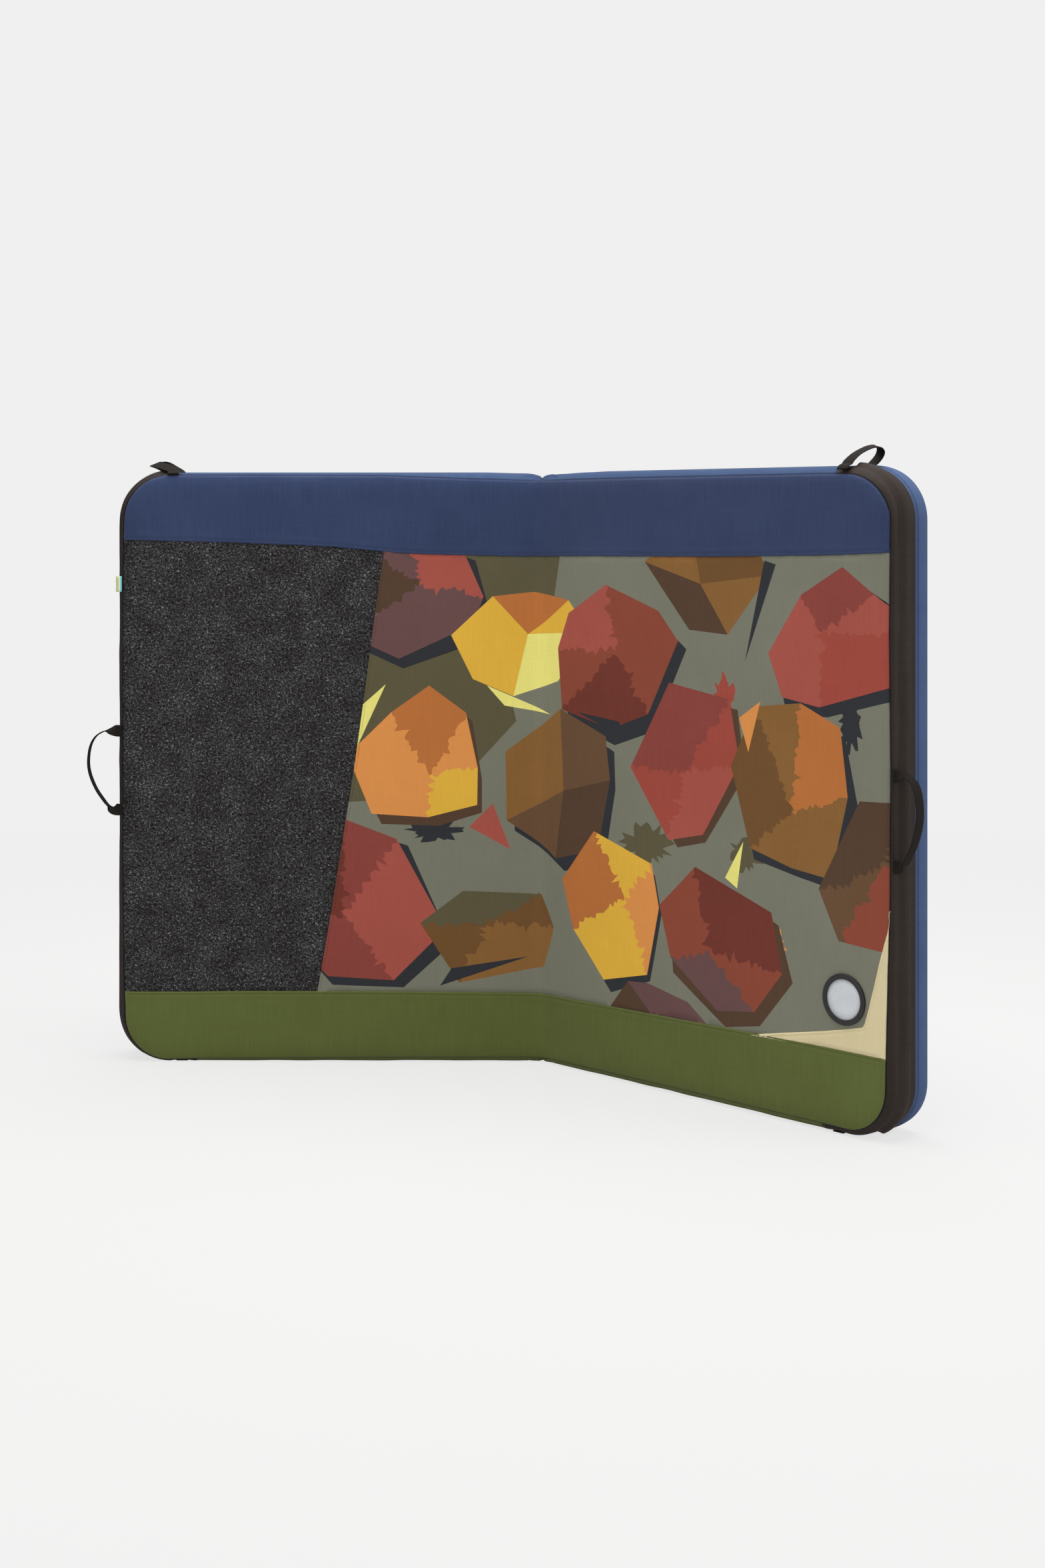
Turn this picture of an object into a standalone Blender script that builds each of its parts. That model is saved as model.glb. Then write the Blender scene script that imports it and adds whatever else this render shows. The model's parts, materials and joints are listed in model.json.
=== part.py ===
# A bouldering crash pad that stands on its long edge, half open like a book.
# Two foam slabs lie in sewn covers, and the landing cloth across both is the hinge.
# Each half is modelled in its own frame: x from the fold to the free end, y from the
# landing side to the ground side, z up. The left half is the same slab mirrored in x.
# Lengths are in metres and turns in degrees.

import math
from collections import namedtuple

import bmesh
import bpy
from mathutils import Vector

# The pad as a whole
HALF_LENGTH = 0.710
PAD_HEIGHT = 1.000
PAD_THICKNESS = 0.100
FOLD_TURN = 44.0  # the right half is folded this far forward from flat

# Clearances
FIT = 0.0003  # between pieces that touch
FOLD_GAP = 0.0006  # from the plane of the fold to each half
AXIS_FORWARD = 0.0022  # the folding axis lies this far in front of the landing cloth
CUT_OVERRUN = 0.020

# Outline of a half
END_CORNER = 0.080
SHOULDER_RUN = 0.026  # the corners at the fold are eased by a low quarter ellipse
SHOULDER_DROP = 0.007
CORNER_STEPS = 8
SHOULDER_STEPS = 4

# Cover
CLOTH = 0.0018
SIDE_SWELL = 0.007  # how far the end wall bellies out
TOP_SWELL = 0.002
SWELL_RUN = 0.080  # the top wall's belly fades out over this length at the fold
EDGE_INSET = 0.018  # the landing side rounds off over this width
EDGE_DROP = 0.006
BACK_ROUND = 0.010
WALL_DEPTH = 0.058  # from the landing side to the seam with the ground side's cover
WALL_STEPS = 4
GUSSET_ON_TOP = 0.100  # the black wall's ends, from the free end
GUSSET_ON_FOOT = 0.126

# Foam
FIRM_FOAM = 0.022

# Landing cloth: band widths at the fold and at the free ends
TOP_BAND = 0.140
TOP_BAND_LEFT_END = 0.112
TOP_BAND_RIGHT_END = 0.136
LEFT_BAND_CURVE = 0.6  # its seam falls fastest beside the carpet's slanted seam
BOTTOM_BAND = 0.111
BOTTOM_BAND_LEFT_END = 0.121
BOTTOM_BAND_RIGHT_END = 0.115
BAND_PROUD = 0.0007  # the bands and the patch lie over the canvas
CARPET_SEAM_TOP = 0.266  # the slanted seam's ends, from the fold
CARPET_SEAM_FOOT = 0.371
CARPET_PILE = 0.0004
PATCH_HEIGHT = 0.222  # the corner patch, above the bottom band at the free end
PATCH_LENGTH = 0.238
patch_edge_shares = (
    (0.0, 1.0), (0.014, 0.82), (0.036, 0.66), (0.096, 0.45),
    (0.192, 0.17), (0.28, 0.145), (0.55, 0.088), (1.0, 0.0),
)

# Round rubber patch
BADGE_RADIUS = 0.040
BADGE_FROM_END = 0.090
BADGE_ABOVE_FLOOR = 0.187
BADGE_RIM = 0.009
BADGE_RISE = 0.0022
BADGE_DISC = 0.0009
BADGE_STEPS = 40

# Zip along the free end, under its cover strip
ZIP_FROM_LANDING = 0.033
ZIP_CHAIN_WIDTH = 0.006
ZIP_CHAIN_THICKNESS = 0.0012
FLAP_WIDTH = 0.022
FLAP_CLOTH = 0.0012
FLAP_RISE = 0.0046
SLIDER_LENGTH = 0.013
SLIDER_WIDTH = 0.0085
SLIDER_THICKNESS = 0.0022
PULL_LENGTH = 0.024
PULL_WIDTH = 0.006
PULL_THICKNESS = 0.0010

# Webbing and handles
WEB_WIDTH = 0.020
WEB = 0.0016
END_HANDLE_SPAN = 0.134  # between the middles of its feet
END_HANDLE_LEFT = 0.495  # middle of each loop above the floor
END_HANDLE_RIGHT = 0.4775
END_REACH_LEFT = 0.051
END_REACH_RIGHT = 0.045
END_HANDLE_BACK = 0.0125  # the loop's middle line lies this far behind the landing side
TOP_HANDLE_FROM_END = 0.086
TOP_HANDLE_FRONT = 0.012
TOP_HANDLE_SPAN = 0.062
FOOT_HANDLE_FROM_END = 0.100
FOOT_HANDLE_FRONT = 0.011
FOOT_HANDLE_SPAN = 0.066
FOOT_NOTCH_MARGIN = 0.002
FOOT_NOTCH_RAMP = 0.005
LOOP_STEPS = 4
# each half's top loop: its rise, its lean to the free end, and its twist in degrees
top_loop_forms = {"left": (0.015, 0.040, 0), "right": (0.029, 0.010, 28)}
# each half's end loop: the height of its middle and its reach
end_loop_forms = {"left": (END_HANDLE_LEFT, END_REACH_LEFT),
                  "right": (END_HANDLE_RIGHT, END_REACH_RIGHT)}

# Woven tab in the left end seam
TAB_REACH = 0.010
TAB_HEIGHT = 0.027
TAB_THICKNESS = 0.0014
TAB_FROM_TOP = 0.188

# Carrying harness on the ground side of the left half
STRAP_GAP = 0.230  # between the middles of the shoulder pads, at the top
STRAP_SPREAD = 0.060  # each lower end lies this much further out
STRAP_FROM_TOP = 0.200
STRAP_FOOT = 0.190
PAD_STRAP_LENGTH = 0.400
PAD_STRAP_WIDTH = 0.062
PAD_STRAP_END_WIDTH = 0.036
PAD_STRAP = 0.013
PAD_TAPER = 0.100  # each end of a shoulder pad narrows over this length
STRAP_ARCH = 0.046
HARNESS_WEB_WIDTH = 0.025
LOCK_WIDTH = 0.034
LOCK_LENGTH = 0.027
LOCK_BAR = 0.0045
LOCK_THICKNESS = 0.0042
LOCK_EASE = 0.0006
TAIL_LENGTH = 0.085
HAUL_SPAN = 0.120
HAUL_RISE = 0.030
HAUL_FROM_TOP = 0.170

SIGN = {"left": -1, "right": 1}

Finish = namedtuple("Finish", "colour roughness metallic")
BLUE = Finish((0.040, 0.070, 0.160), 0.75, 0.0)
BLACK = Finish((0.028, 0.025, 0.023), 0.70, 0.0)
GREEN = Finish((0.095, 0.122, 0.034), 0.80, 0.0)
CHARCOAL = Finish((0.030, 0.030, 0.031), 0.95, 0.0)
PRINT = Finish((0.180, 0.180, 0.130), 0.85, 0.0)
CREAM = Finish((0.660, 0.570, 0.330), 0.85, 0.0)
WEBBING = Finish((0.020, 0.020, 0.021), 0.65, 0.0)
RUBBER = Finish((0.018, 0.018, 0.018), 0.45, 0.0)
PALE_RUBBER = Finish((0.480, 0.480, 0.470), 0.50, 0.0)
FIRM = Finish((0.120, 0.125, 0.130), 0.90, 0.0)
SOFT = Finish((0.620, 0.560, 0.400), 0.95, 0.0)
PLASTIC = Finish((0.022, 0.022, 0.023), 0.35, 0.0)
ZINC = Finish((0.100, 0.100, 0.105), 0.35, 1.0)
TAB = Finish((0.420, 0.560, 0.350), 0.80, 0.0)

# A place on a half's outline: the point, the way outwards, how much of the belly and of
# the rounded edge it has, and the wall that covers it.
Station = namedtuple("Station", "x z out_x out_z swell edge wall")


# Scene and objects

def clear_scene():
    for item in list(bpy.data.objects):
        bpy.data.objects.remove(item, do_unlink=True)


def new_collection(name):
    collection = bpy.data.collections.new(name)
    bpy.context.scene.collection.children.link(collection)
    return collection


def new_empty(name, parent=None, location=(0, 0, 0), turn=0):
    empty = bpy.data.objects.new(name, None)
    PARTS.objects.link(empty)
    empty.parent = parent
    empty.location = location
    empty.rotation_euler.z = math.radians(turn)
    return empty


def new_material(name, finish):
    material = bpy.data.materials.new(name)
    material.use_nodes = True
    shader = material.node_tree.nodes["Principled BSDF"]
    shader.inputs["Base Color"].default_value = (*finish.colour, 1)
    shader.inputs["Roughness"].default_value = finish.roughness
    shader.inputs["Metallic"].default_value = finish.metallic
    material.diffuse_color = (*finish.colour, 1)
    return material


def new_part(name, bm, finish, parent, smooth=None):
    """A solid of the pad from a bmesh, with its own material."""
    bmesh.ops.recalc_face_normals(bm, faces=bm.faces)
    mesh = bpy.data.meshes.new(name)
    bm.to_mesh(mesh)
    bm.free()
    mesh.materials.append(new_material(name, finish))
    if smooth is not None:
        mesh.shade_smooth()
        mesh.set_sharp_from_angle(angle=math.radians(smooth))
    part = bpy.data.objects.new(name, mesh)
    PARTS.objects.link(part)
    part.parent = parent
    return part


def new_cutter(name, bm, parent):
    bmesh.ops.recalc_face_normals(bm, faces=bm.faces)
    mesh = bpy.data.meshes.new(name)
    bm.to_mesh(mesh)
    bm.free()
    cutter = bpy.data.objects.new(name, mesh)
    CUTTERS.objects.link(cutter)
    cutter.parent = parent
    cutter.hide_render = True
    cutter.display_type = "WIRE"
    return cutter


def cut(part, cutter, operation):
    step = part.modifiers.new(cutter.name, "BOOLEAN")
    step.operation = operation
    step.object = cutter
    step.solver = "EXACT"


def ease_edges(part, width, segments):
    bevel = part.modifiers.new("ease", "BEVEL")
    bevel.width = width
    bevel.segments = segments
    bevel.limit_method = "ANGLE"
    bevel.angle_limit = math.radians(40)


# Shapes

def loft(sections):
    """A closed skin through rings of points, with a flat face at each end."""
    bm = bmesh.new()
    rings = [[bm.verts.new(point) for point in section] for section in sections]
    for one, two in zip(rings, rings[1:]):
        for k in range(len(one)):
            after = (k + 1) % len(one)
            bm.faces.new((one[k], one[after], two[after], two[k]))
    bm.faces.new(rings[0])
    bm.faces.new(list(reversed(rings[-1])))
    return bm


def prism(points, low_y, high_y):
    """A flat outline in x and z, given thickness along y."""
    return loft([[(x, y, z) for x, z in points] for y in (low_y, high_y)])


def block(size, centre=(0, 0, 0)):
    bm = bmesh.new()
    bmesh.ops.create_cube(bm, size=1)
    bmesh.ops.scale(bm, vec=size, verts=bm.verts)
    bmesh.ops.translate(bm, vec=centre, verts=bm.verts)
    return bm


def smooth_through(points, steps):
    """Points on a Catmull-Rom curve through the given ones, steps to each span."""
    points = [Vector(point) for point in points]
    curve = []
    for k in range(len(points) - 1):
        before = points[max(k - 1, 0)]
        one, two = points[k], points[k + 1]
        after = points[min(k + 2, len(points) - 1)]
        for step in range(steps):
            t = step / steps
            curve.append(
                0.5 * (
                    2 * one
                    + (two - before) * t
                    + (2 * before - 5 * one + 4 * two - after) * t ** 2
                    + (3 * one - before - 3 * two + after) * t ** 3
                )
            )
    curve.append(points[-1])
    return curve


def strip_frames(points, across):
    """At each point of a strip: the point, the way across it and the way off its face."""
    frames = []
    for k, point in enumerate(points):
        ahead = points[min(k + 1, len(points) - 1)] - points[max(k - 1, 0)]
        ahead.normalize()
        wide = across[k] - ahead * across[k].dot(ahead)
        wide.normalize()
        frames.append((point, wide, ahead.cross(wide)))
    return frames


def webbing(route, width, thickness, steps=LOOP_STEPS):
    """A flat strip along a route of (point, way across)."""
    points = smooth_through([point for point, _ in route], steps)
    across = smooth_through([way for _, way in route], steps)
    sections = []
    for point, wide, off in strip_frames(points, across):
        side, face = wide * width / 2, off * thickness / 2
        sections.append([point - side - face, point + side - face,
                         point + side + face, point - side + face])
    return loft(sections)


# Outline of a half

def quarter(centre, radius_x, radius_z, start, steps):
    """Points and outward ways along a quarter turn that starts at the given turn."""
    found = []
    for k in range(steps + 1):
        turn = math.radians(start + 90 * k / steps)
        way = Vector((radius_z * math.cos(turn), radius_x * math.sin(turn))).normalized()
        found.append((centre[0] + radius_x * math.cos(turn),
                      centre[1] + radius_z * math.sin(turn), way.x, way.y))
    return found


def half_outline():
    """Stations round a half, from the foot of the fold by the floor, end and top."""
    top_share = TOP_SWELL / SIDE_SWELL
    fold_x = FOLD_GAP + SHOULDER_RUN
    corner_x = HALF_LENGTH - END_CORNER
    stations = []

    foot = quarter((fold_x, SHOULDER_DROP), SHOULDER_RUN, SHOULDER_DROP, 180, SHOULDER_STEPS)
    for k, (x, z, _, _) in enumerate(foot):
        stations.append(Station(x, z, -1, -1, 0, k / SHOULDER_STEPS, "hinge_wall"))

    seam_x = HALF_LENGTH - GUSSET_ON_FOOT
    notch_x = HALF_LENGTH - FOOT_HANDLE_FROM_END
    notch_half = WEB_WIDTH / 2 + FOOT_NOTCH_MARGIN
    notch = WEB + FIT
    stations.append(Station(fold_x + FIT, 0, -1, -1, 0, 1, "bottom_wall"))
    for x, z, wall in (
        (seam_x - FIT, 0, "bottom_wall"),
        (seam_x, 0, "end_gusset"),
        (notch_x - notch_half - FOOT_NOTCH_RAMP, 0, "end_gusset"),
        (notch_x - notch_half, notch, "end_gusset"),
        (notch_x + notch_half, notch, "end_gusset"),
        (notch_x + notch_half + FOOT_NOTCH_RAMP, 0, "end_gusset"),
    ):
        stations.append(Station(x, z, 0, -1, 0, 1, wall))

    for x, z, out_x, out_z in quarter(
        (corner_x, END_CORNER), END_CORNER, END_CORNER, 270, CORNER_STEPS
    ):
        stations.append(Station(x, z, out_x, out_z, out_x ** 2, 1, "end_gusset"))
    for x, z, out_x, out_z in quarter(
        (corner_x, PAD_HEIGHT - END_CORNER), END_CORNER, END_CORNER, 0, CORNER_STEPS
    ):
        swell = out_x ** 2 + top_share * out_z ** 2
        stations.append(Station(x, z, out_x, out_z, swell, 1, "end_gusset"))

    seam_x = HALF_LENGTH - GUSSET_ON_TOP
    for x, wall in (
        (seam_x, "end_gusset"),
        (seam_x - FIT, "top_wall"),
        (fold_x + SWELL_RUN, "top_wall"),
    ):
        stations.append(Station(x, PAD_HEIGHT, 0, 1, top_share, 1, wall))
    stations.append(Station(fold_x + FIT, PAD_HEIGHT, -1, 1, 0, 1, "top_wall"))

    head = quarter((fold_x, PAD_HEIGHT - SHOULDER_DROP), SHOULDER_RUN, SHOULDER_DROP,
                   90, SHOULDER_STEPS)
    for k, (x, z, _, _) in enumerate(head):
        stations.append(Station(x, z, -1, 1, 0, 1 - k / SHOULDER_STEPS, "hinge_wall"))
    return stations


def belly(y):
    """How much of the full swell a wall has at this depth: none at either edge."""
    share = y / PAD_THICKNESS
    return 4 * share * (1 - share)


def place(station, side, out, y):
    """The point that lies out from a station, at depth y behind the landing side."""
    return Vector((SIGN[side] * (station.x + out * station.out_x),
                   y + AXIS_FORWARD, station.z + out * station.out_z))


def ring(side, inset, y, drop=0.0):
    """A ring round the half, set in from the outline and dropped back at its edges."""
    points = []
    for station in OUTLINE:
        deep = y + drop * station.edge
        out = SIDE_SWELL * station.swell * belly(deep) - inset
        points.append(place(station, side, out, deep))
    return points


def landing_rings(side, y, least_inset=0.0):
    """Rings that round the landing side off towards its edge."""
    rings = []
    for inset_share, drop_share in ((1.0, 0.0), (0.55, 0.10), (0.22, 0.42), (0.0, 1.0)):
        inset = max(inset_share * EDGE_INSET, least_inset)
        rings.append(ring(side, inset, y, drop_share * EDGE_DROP))
    return rings


def back_rings(side, depth):
    """Rings that round the ground side off, this deep inside the cover."""
    radius = BACK_ROUND - depth
    rings = []
    for turn in (0, 30, 60, 90):
        inset = BACK_ROUND - radius * math.cos(math.radians(turn))
        y = PAD_THICKNESS - BACK_ROUND + radius * math.sin(math.radians(turn))
        rings.append(ring(side, inset, y))
    return rings


# Foam and cover

def landing_plate(name, side, proud, finish):
    """The landing cloth of a whole half; cutters then leave one panel of it."""
    outer = landing_rings(side, -proud)
    inner = landing_rings(side, CLOTH)
    return new_part(name, loft(outer + inner[::-1]), finish, HALVES[side], smooth=35)


def firm_foam(side):
    deep = CLOTH + FIT
    rings = landing_rings(side, deep, least_inset=deep)
    rings.append(ring(side, deep, deep + FIRM_FOAM))
    new_part(side + "_firm_foam", loft(rings), FIRM, HALVES[side], smooth=35)


def soft_foam(side):
    deep = CLOTH + FIT
    front = deep + FIRM_FOAM + FIT
    rings = [ring(side, deep, front), ring(side, deep, PAD_THICKNESS / 2)]
    rings += back_rings(side, deep)
    new_part(side + "_soft_foam", loft(rings), SOFT, HALVES[side], smooth=35)


def back_cover(side):
    lip = WALL_DEPTH + FIT
    outer = [ring(side, 0, lip)] + back_rings(side, 0)
    inner = [ring(side, CLOTH, lip)] + back_rings(side, CLOTH)
    new_part(side + "_back_cover", loft(outer[::-1] + inner), BLUE, HALVES[side], smooth=35)


def wall_section(station, side, base, thickness, low, high):
    """A wall's cut at a station: its outer line back and its inner line forward."""
    outer, inner = [], []
    for k in range(WALL_STEPS + 1):
        y = low + (high - low) * k / WALL_STEPS
        out = SIDE_SWELL * station.swell * belly(y) + base
        outer.append(place(station, side, out, y))
        inner.append(place(station, side, out - thickness, y))
    return outer + inner[::-1]


def wall_stations(wall):
    stations = [station for station in OUTLINE if station.wall == wall]
    if wall == "hinge_wall":  # it starts under the top wall and ends over the floor
        half = len(stations) // 2
        stations = stations[half:] + stations[:half]
    return stations


def wall(side, name, finish):
    sections = []
    for station in wall_stations(name):
        front = CLOTH + FIT + EDGE_DROP * station.edge
        sections.append(wall_section(station, side, 0, CLOTH, front, WALL_DEPTH))
    new_part(side + "_" + name, loft(sections), finish, HALVES[side], smooth=35)


# Seams of the landing cloth, as cutters

def offset_line(points, distance):
    """An open line in x and z moved to its left."""
    moved = []
    for k, (x, z) in enumerate(points):
        one, two = points[max(k - 1, 0)], points[min(k + 1, len(points) - 1)]
        run, rise = two[0] - one[0], two[1] - one[1]
        length = math.hypot(run, rise)
        moved.append((x - distance * rise / length, z + distance * run / length))
    return moved


def top_seam(side):
    """The lower edge of the top band, from before the fold to past the end."""
    start, end = -CUT_OVERRUN, HALF_LENGTH + CUT_OVERRUN
    if side == "right":
        return [(start, PAD_HEIGHT - TOP_BAND), (end, PAD_HEIGHT - TOP_BAND_RIGHT_END)]
    curve = []
    for k in range(7):
        share = k / 6
        band = TOP_BAND + (TOP_BAND_LEFT_END - TOP_BAND) * share ** LEFT_BAND_CURVE
        x = CARPET_SEAM_TOP + (HALF_LENGTH - CARPET_SEAM_TOP) * share
        curve.append((x, PAD_HEIGHT - band))
    return [(start, PAD_HEIGHT - TOP_BAND)] + curve[:-1] + [(end, curve[-1][1])]


def bottom_seam(side):
    end_band = BOTTOM_BAND_LEFT_END if side == "left" else BOTTOM_BAND_RIGHT_END
    return [(-CUT_OVERRUN, BOTTOM_BAND), (HALF_LENGTH + CUT_OVERRUN, end_band)]


def carpet_seam():
    slope = (CARPET_SEAM_FOOT - CARPET_SEAM_TOP) / (PAD_HEIGHT - TOP_BAND - BOTTOM_BAND)
    low, high = -CUT_OVERRUN, PAD_HEIGHT + CUT_OVERRUN
    foot = CARPET_SEAM_FOOT + slope * (BOTTOM_BAND - low)
    head = CARPET_SEAM_TOP - slope * (high - (PAD_HEIGHT - TOP_BAND))
    return [(foot, low), (head, high)]


def patch_edge():
    """The corner patch's curved edge, from past the free end down to the bottom band."""
    edge = [(HALF_LENGTH - along * PATCH_LENGTH,
             BOTTOM_BAND_RIGHT_END + up * PATCH_HEIGHT) for along, up in patch_edge_shares]
    past = (HALF_LENGTH + CUT_OVERRUN, edge[0][1] + CUT_OVERRUN)
    below = (edge[-1][0] - CUT_OVERRUN, edge[-1][1] - CUT_OVERRUN / 4)
    return [past] + edge + [below]


def region_cutter(name, side, points):
    mirrored = [(SIGN[side] * x, z) for x, z in points]
    low, high = AXIS_FORWARD - CUT_OVERRUN, AXIS_FORWARD + CUT_OVERRUN
    return new_cutter(side + "_" + name, prism(mirrored, low, high), HALVES[side])


def landing_panels(side, cutters):
    """The two bands and the middle region of a half."""
    start, end = -CUT_OVERRUN, HALF_LENGTH + CUT_OVERRUN
    low, high = -CUT_OVERRUN, PAD_HEIGHT + CUT_OVERRUN
    above = offset_line(top_seam(side), FIT / 2) + [(end, high), (start, high)]
    below = offset_line(bottom_seam(side), -FIT / 2) + [(end, low), (start, low)]
    middle = (offset_line(bottom_seam(side), FIT / 2)
              + offset_line(top_seam(side), -FIT / 2)[::-1])
    top = landing_plate(side + "_top_band", side, BAND_PROUD, BLUE)
    cut(top, region_cutter("above_seam", side, above), "INTERSECT")
    bottom = landing_plate(side + "_bottom_band", side, BAND_PROUD, GREEN)
    cut(bottom, region_cutter("below_seam", side, below), "INTERSECT")
    cutters[side] = region_cutter("between_seams", side, middle)


def left_middle(cutters):
    """The canvas next to the fold and the carpet next to the free end."""
    low, high = -CUT_OVERRUN, PAD_HEIGHT + CUT_OVERRUN
    start, end = -CUT_OVERRUN, HALF_LENGTH + CUT_OVERRUN
    canvas_side = offset_line(carpet_seam(), FIT / 2) + [(start, high), (start, low)]
    carpet_side = offset_line(carpet_seam(), -FIT / 2) + [(end, high), (end, low)]
    canvas = landing_plate("left_print_panel", "left", 0, PRINT)
    cut(canvas, cutters["left"], "INTERSECT")
    cut(canvas, region_cutter("canvas_side", "left", canvas_side), "INTERSECT")
    carpet = landing_plate("carpet_panel", "left", CARPET_PILE, CHARCOAL)
    cut(carpet, cutters["left"], "INTERSECT")
    cut(carpet, region_cutter("carpet_side", "left", carpet_side), "INTERSECT")


def right_middle(cutters):
    """The canvas, and the patch in its lower outer corner."""
    low, end = -CUT_OVERRUN, HALF_LENGTH + CUT_OVERRUN
    edge = patch_edge()
    foot = [(edge[-1][0], low), (end, low)]
    canvas = landing_plate("right_print_panel", "right", 0, PRINT)
    cut(canvas, cutters["right"], "INTERSECT")
    around = region_cutter("around_patch", "right", offset_line(edge, -FIT / 2) + foot)
    cut(canvas, around, "DIFFERENCE")
    patch = landing_plate("corner_patch", "right", BAND_PROUD, CREAM)
    cut(patch, cutters["right"], "INTERSECT")
    within = region_cutter("within_patch", "right", offset_line(edge, FIT / 2) + foot)
    cut(patch, within, "INTERSECT")


# Round patch on the canvas

def turned(name, profile, finish, parent):
    """A closed profile of (radius, rise), down its outer side first, turned about z."""
    bm = bmesh.new()
    verts = [bm.verts.new((radius, 0, rise)) for radius, rise in profile]
    for one, two in zip(verts, verts[1:] + verts[:1]):
        bm.edges.new((one, two))
    part = new_part(name, bm, finish, parent)
    screw = part.modifiers.new("turn", "SCREW")
    screw.axis = "Z"
    screw.angle = 2 * math.pi
    screw.steps = screw.render_steps = BADGE_STEPS
    screw.use_merge_vertices = True
    screw.merge_threshold = FIT / 10
    screw.use_smooth_shade = True
    return part


def badge():
    centre = Vector((HALF_LENGTH - BADGE_FROM_END, AXIS_FORWARD - FIT, BADGE_ABOVE_FLOOR))
    inside = BADGE_RADIUS - BADGE_RIM
    ease = BADGE_RISE / 2
    profile = [(BADGE_RADIUS - ease, BADGE_RISE), (BADGE_RADIUS, BADGE_RISE - ease),
               (BADGE_RADIUS, 0), (inside, 0), (inside, BADGE_RISE - ease),
               (inside + ease, BADGE_RISE)]
    rim = turned("badge_rim", profile, RUBBER, HALVES["right"])
    rim.location = centre
    rim.rotation_euler.x = math.radians(90)
    disc = bmesh.new()
    bmesh.ops.create_cone(disc, cap_ends=True, segments=BADGE_STEPS, depth=BADGE_DISC,
                          radius1=inside - FIT, radius2=inside - FIT)
    part = new_part("badge_disc", disc, PALE_RUBBER, HALVES["right"], smooth=40)
    part.location = centre - Vector((0, BADGE_DISC / 2, 0))
    part.rotation_euler.x = math.radians(90)


# Fold

def fold_bead():
    """The rolled edge of the landing cloth along the folding axis, between both halves."""
    radius = math.hypot(FOLD_GAP, AXIS_FORWARD - BAND_PROUD) - FIT
    length = PAD_HEIGHT - 2 * SHOULDER_DROP
    bm = bmesh.new()
    bmesh.ops.create_cone(bm, cap_ends=True, segments=12, depth=length,
                          radius1=radius, radius2=radius)
    bead = new_part("fold_bead", bm, PRINT, FOLD_AXIS, smooth=40)
    bead.location.z = PAD_HEIGHT / 2


# Zip on the free end

def zip_run():
    """The straight part of the zip, between the end's round corners."""
    return END_CORNER, PAD_HEIGHT - END_CORNER


def end_face(y):
    """How far the end wall's outer face lies from the fold at this depth."""
    return HALF_LENGTH + SIDE_SWELL * belly(y)


def zip_chain(side):
    """The closed teeth along the wall's outer face, round both corners."""
    low = ZIP_FROM_LANDING - ZIP_CHAIN_WIDTH / 2
    high = ZIP_FROM_LANDING + ZIP_CHAIN_WIDTH / 2
    sections = []
    for station in zip_stations():
        lift = FIT + ZIP_CHAIN_THICKNESS
        sections.append(wall_section(station, side, lift, ZIP_CHAIN_THICKNESS, low, high))
    new_part(side + "_zip_chain", loft(sections), BLACK, HALVES[side], smooth=35)


def zip_stations():
    """The round corners and the end: all of the outline that bends round the end."""
    return [station for station in OUTLINE
            if station.wall == "end_gusset" and station.swell > TOP_SWELL / SIDE_SWELL]


def zip_flap(side):
    """An arched cloth strip over the zip, sewn down along its ground-side edge."""
    half = FLAP_WIDTH / 2
    front, back = ZIP_FROM_LANDING - half, ZIP_FROM_LANDING + half
    arch = ((0.0, 0.22), (0.07, 0.72), (0.25, 1.0), (0.75, 1.0), (0.93, 0.72), (1.0, 0.22))
    sections = []
    for station in zip_stations():
        outer, inner = [], []
        for along, up in arch:
            y = front + (back - front) * along
            wall_out = SIDE_SWELL * station.swell * belly(y) + FIT
            outer.append(place(station, side, wall_out + FLAP_RISE * up, y))
            y = front + FLAP_CLOTH + (back - front - 2 * FLAP_CLOTH) * along
            wall_out = SIDE_SWELL * station.swell * belly(y) + FIT
            lift = max(FLAP_RISE * up - FLAP_CLOTH, 0)
            inner.append(place(station, side, wall_out + lift, y))
        sections.append(outer + inner[::-1])
    new_part(side + "_zip_flap", loft(sections), BLACK, HALVES[side], smooth=50)


def zip_slider(side):
    """The slider straddles the chain near the foot of its run, with its pull below it."""
    low, _ = zip_run()
    sign = SIGN[side]
    base = end_face(ZIP_FROM_LANDING + SLIDER_WIDTH / 2) + FIT
    y = ZIP_FROM_LANDING + AXIS_FORWARD
    middle = low + PULL_LENGTH + SLIDER_LENGTH / 2
    body = new_part(side + "_zip_slider",
                    block((SLIDER_THICKNESS, SLIDER_WIDTH, SLIDER_LENGTH)),
                    ZINC, HALVES[side])
    body.location = (sign * (base + SLIDER_THICKNESS / 2), y, middle)
    slot_deep = ZIP_CHAIN_THICKNESS + 2 * FIT
    slot = new_cutter(
        side + "_slider_slot",
        block((2 * slot_deep, ZIP_CHAIN_WIDTH + 2 * FIT, SLIDER_LENGTH + CUT_OVERRUN)),
        HALVES[side])
    slot.location = (sign * (base - FIT), y, middle)
    cut(body, slot, "DIFFERENCE")
    pull = new_part(side + "_zip_pull",
                    block((PULL_THICKNESS, PULL_WIDTH, PULL_LENGTH - FIT)),
                    WEBBING, HALVES[side])
    lift = SLIDER_THICKNESS - PULL_THICKNESS / 2
    pull.location = (sign * (base + lift), y, low + PULL_LENGTH / 2)


# Handles

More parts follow.
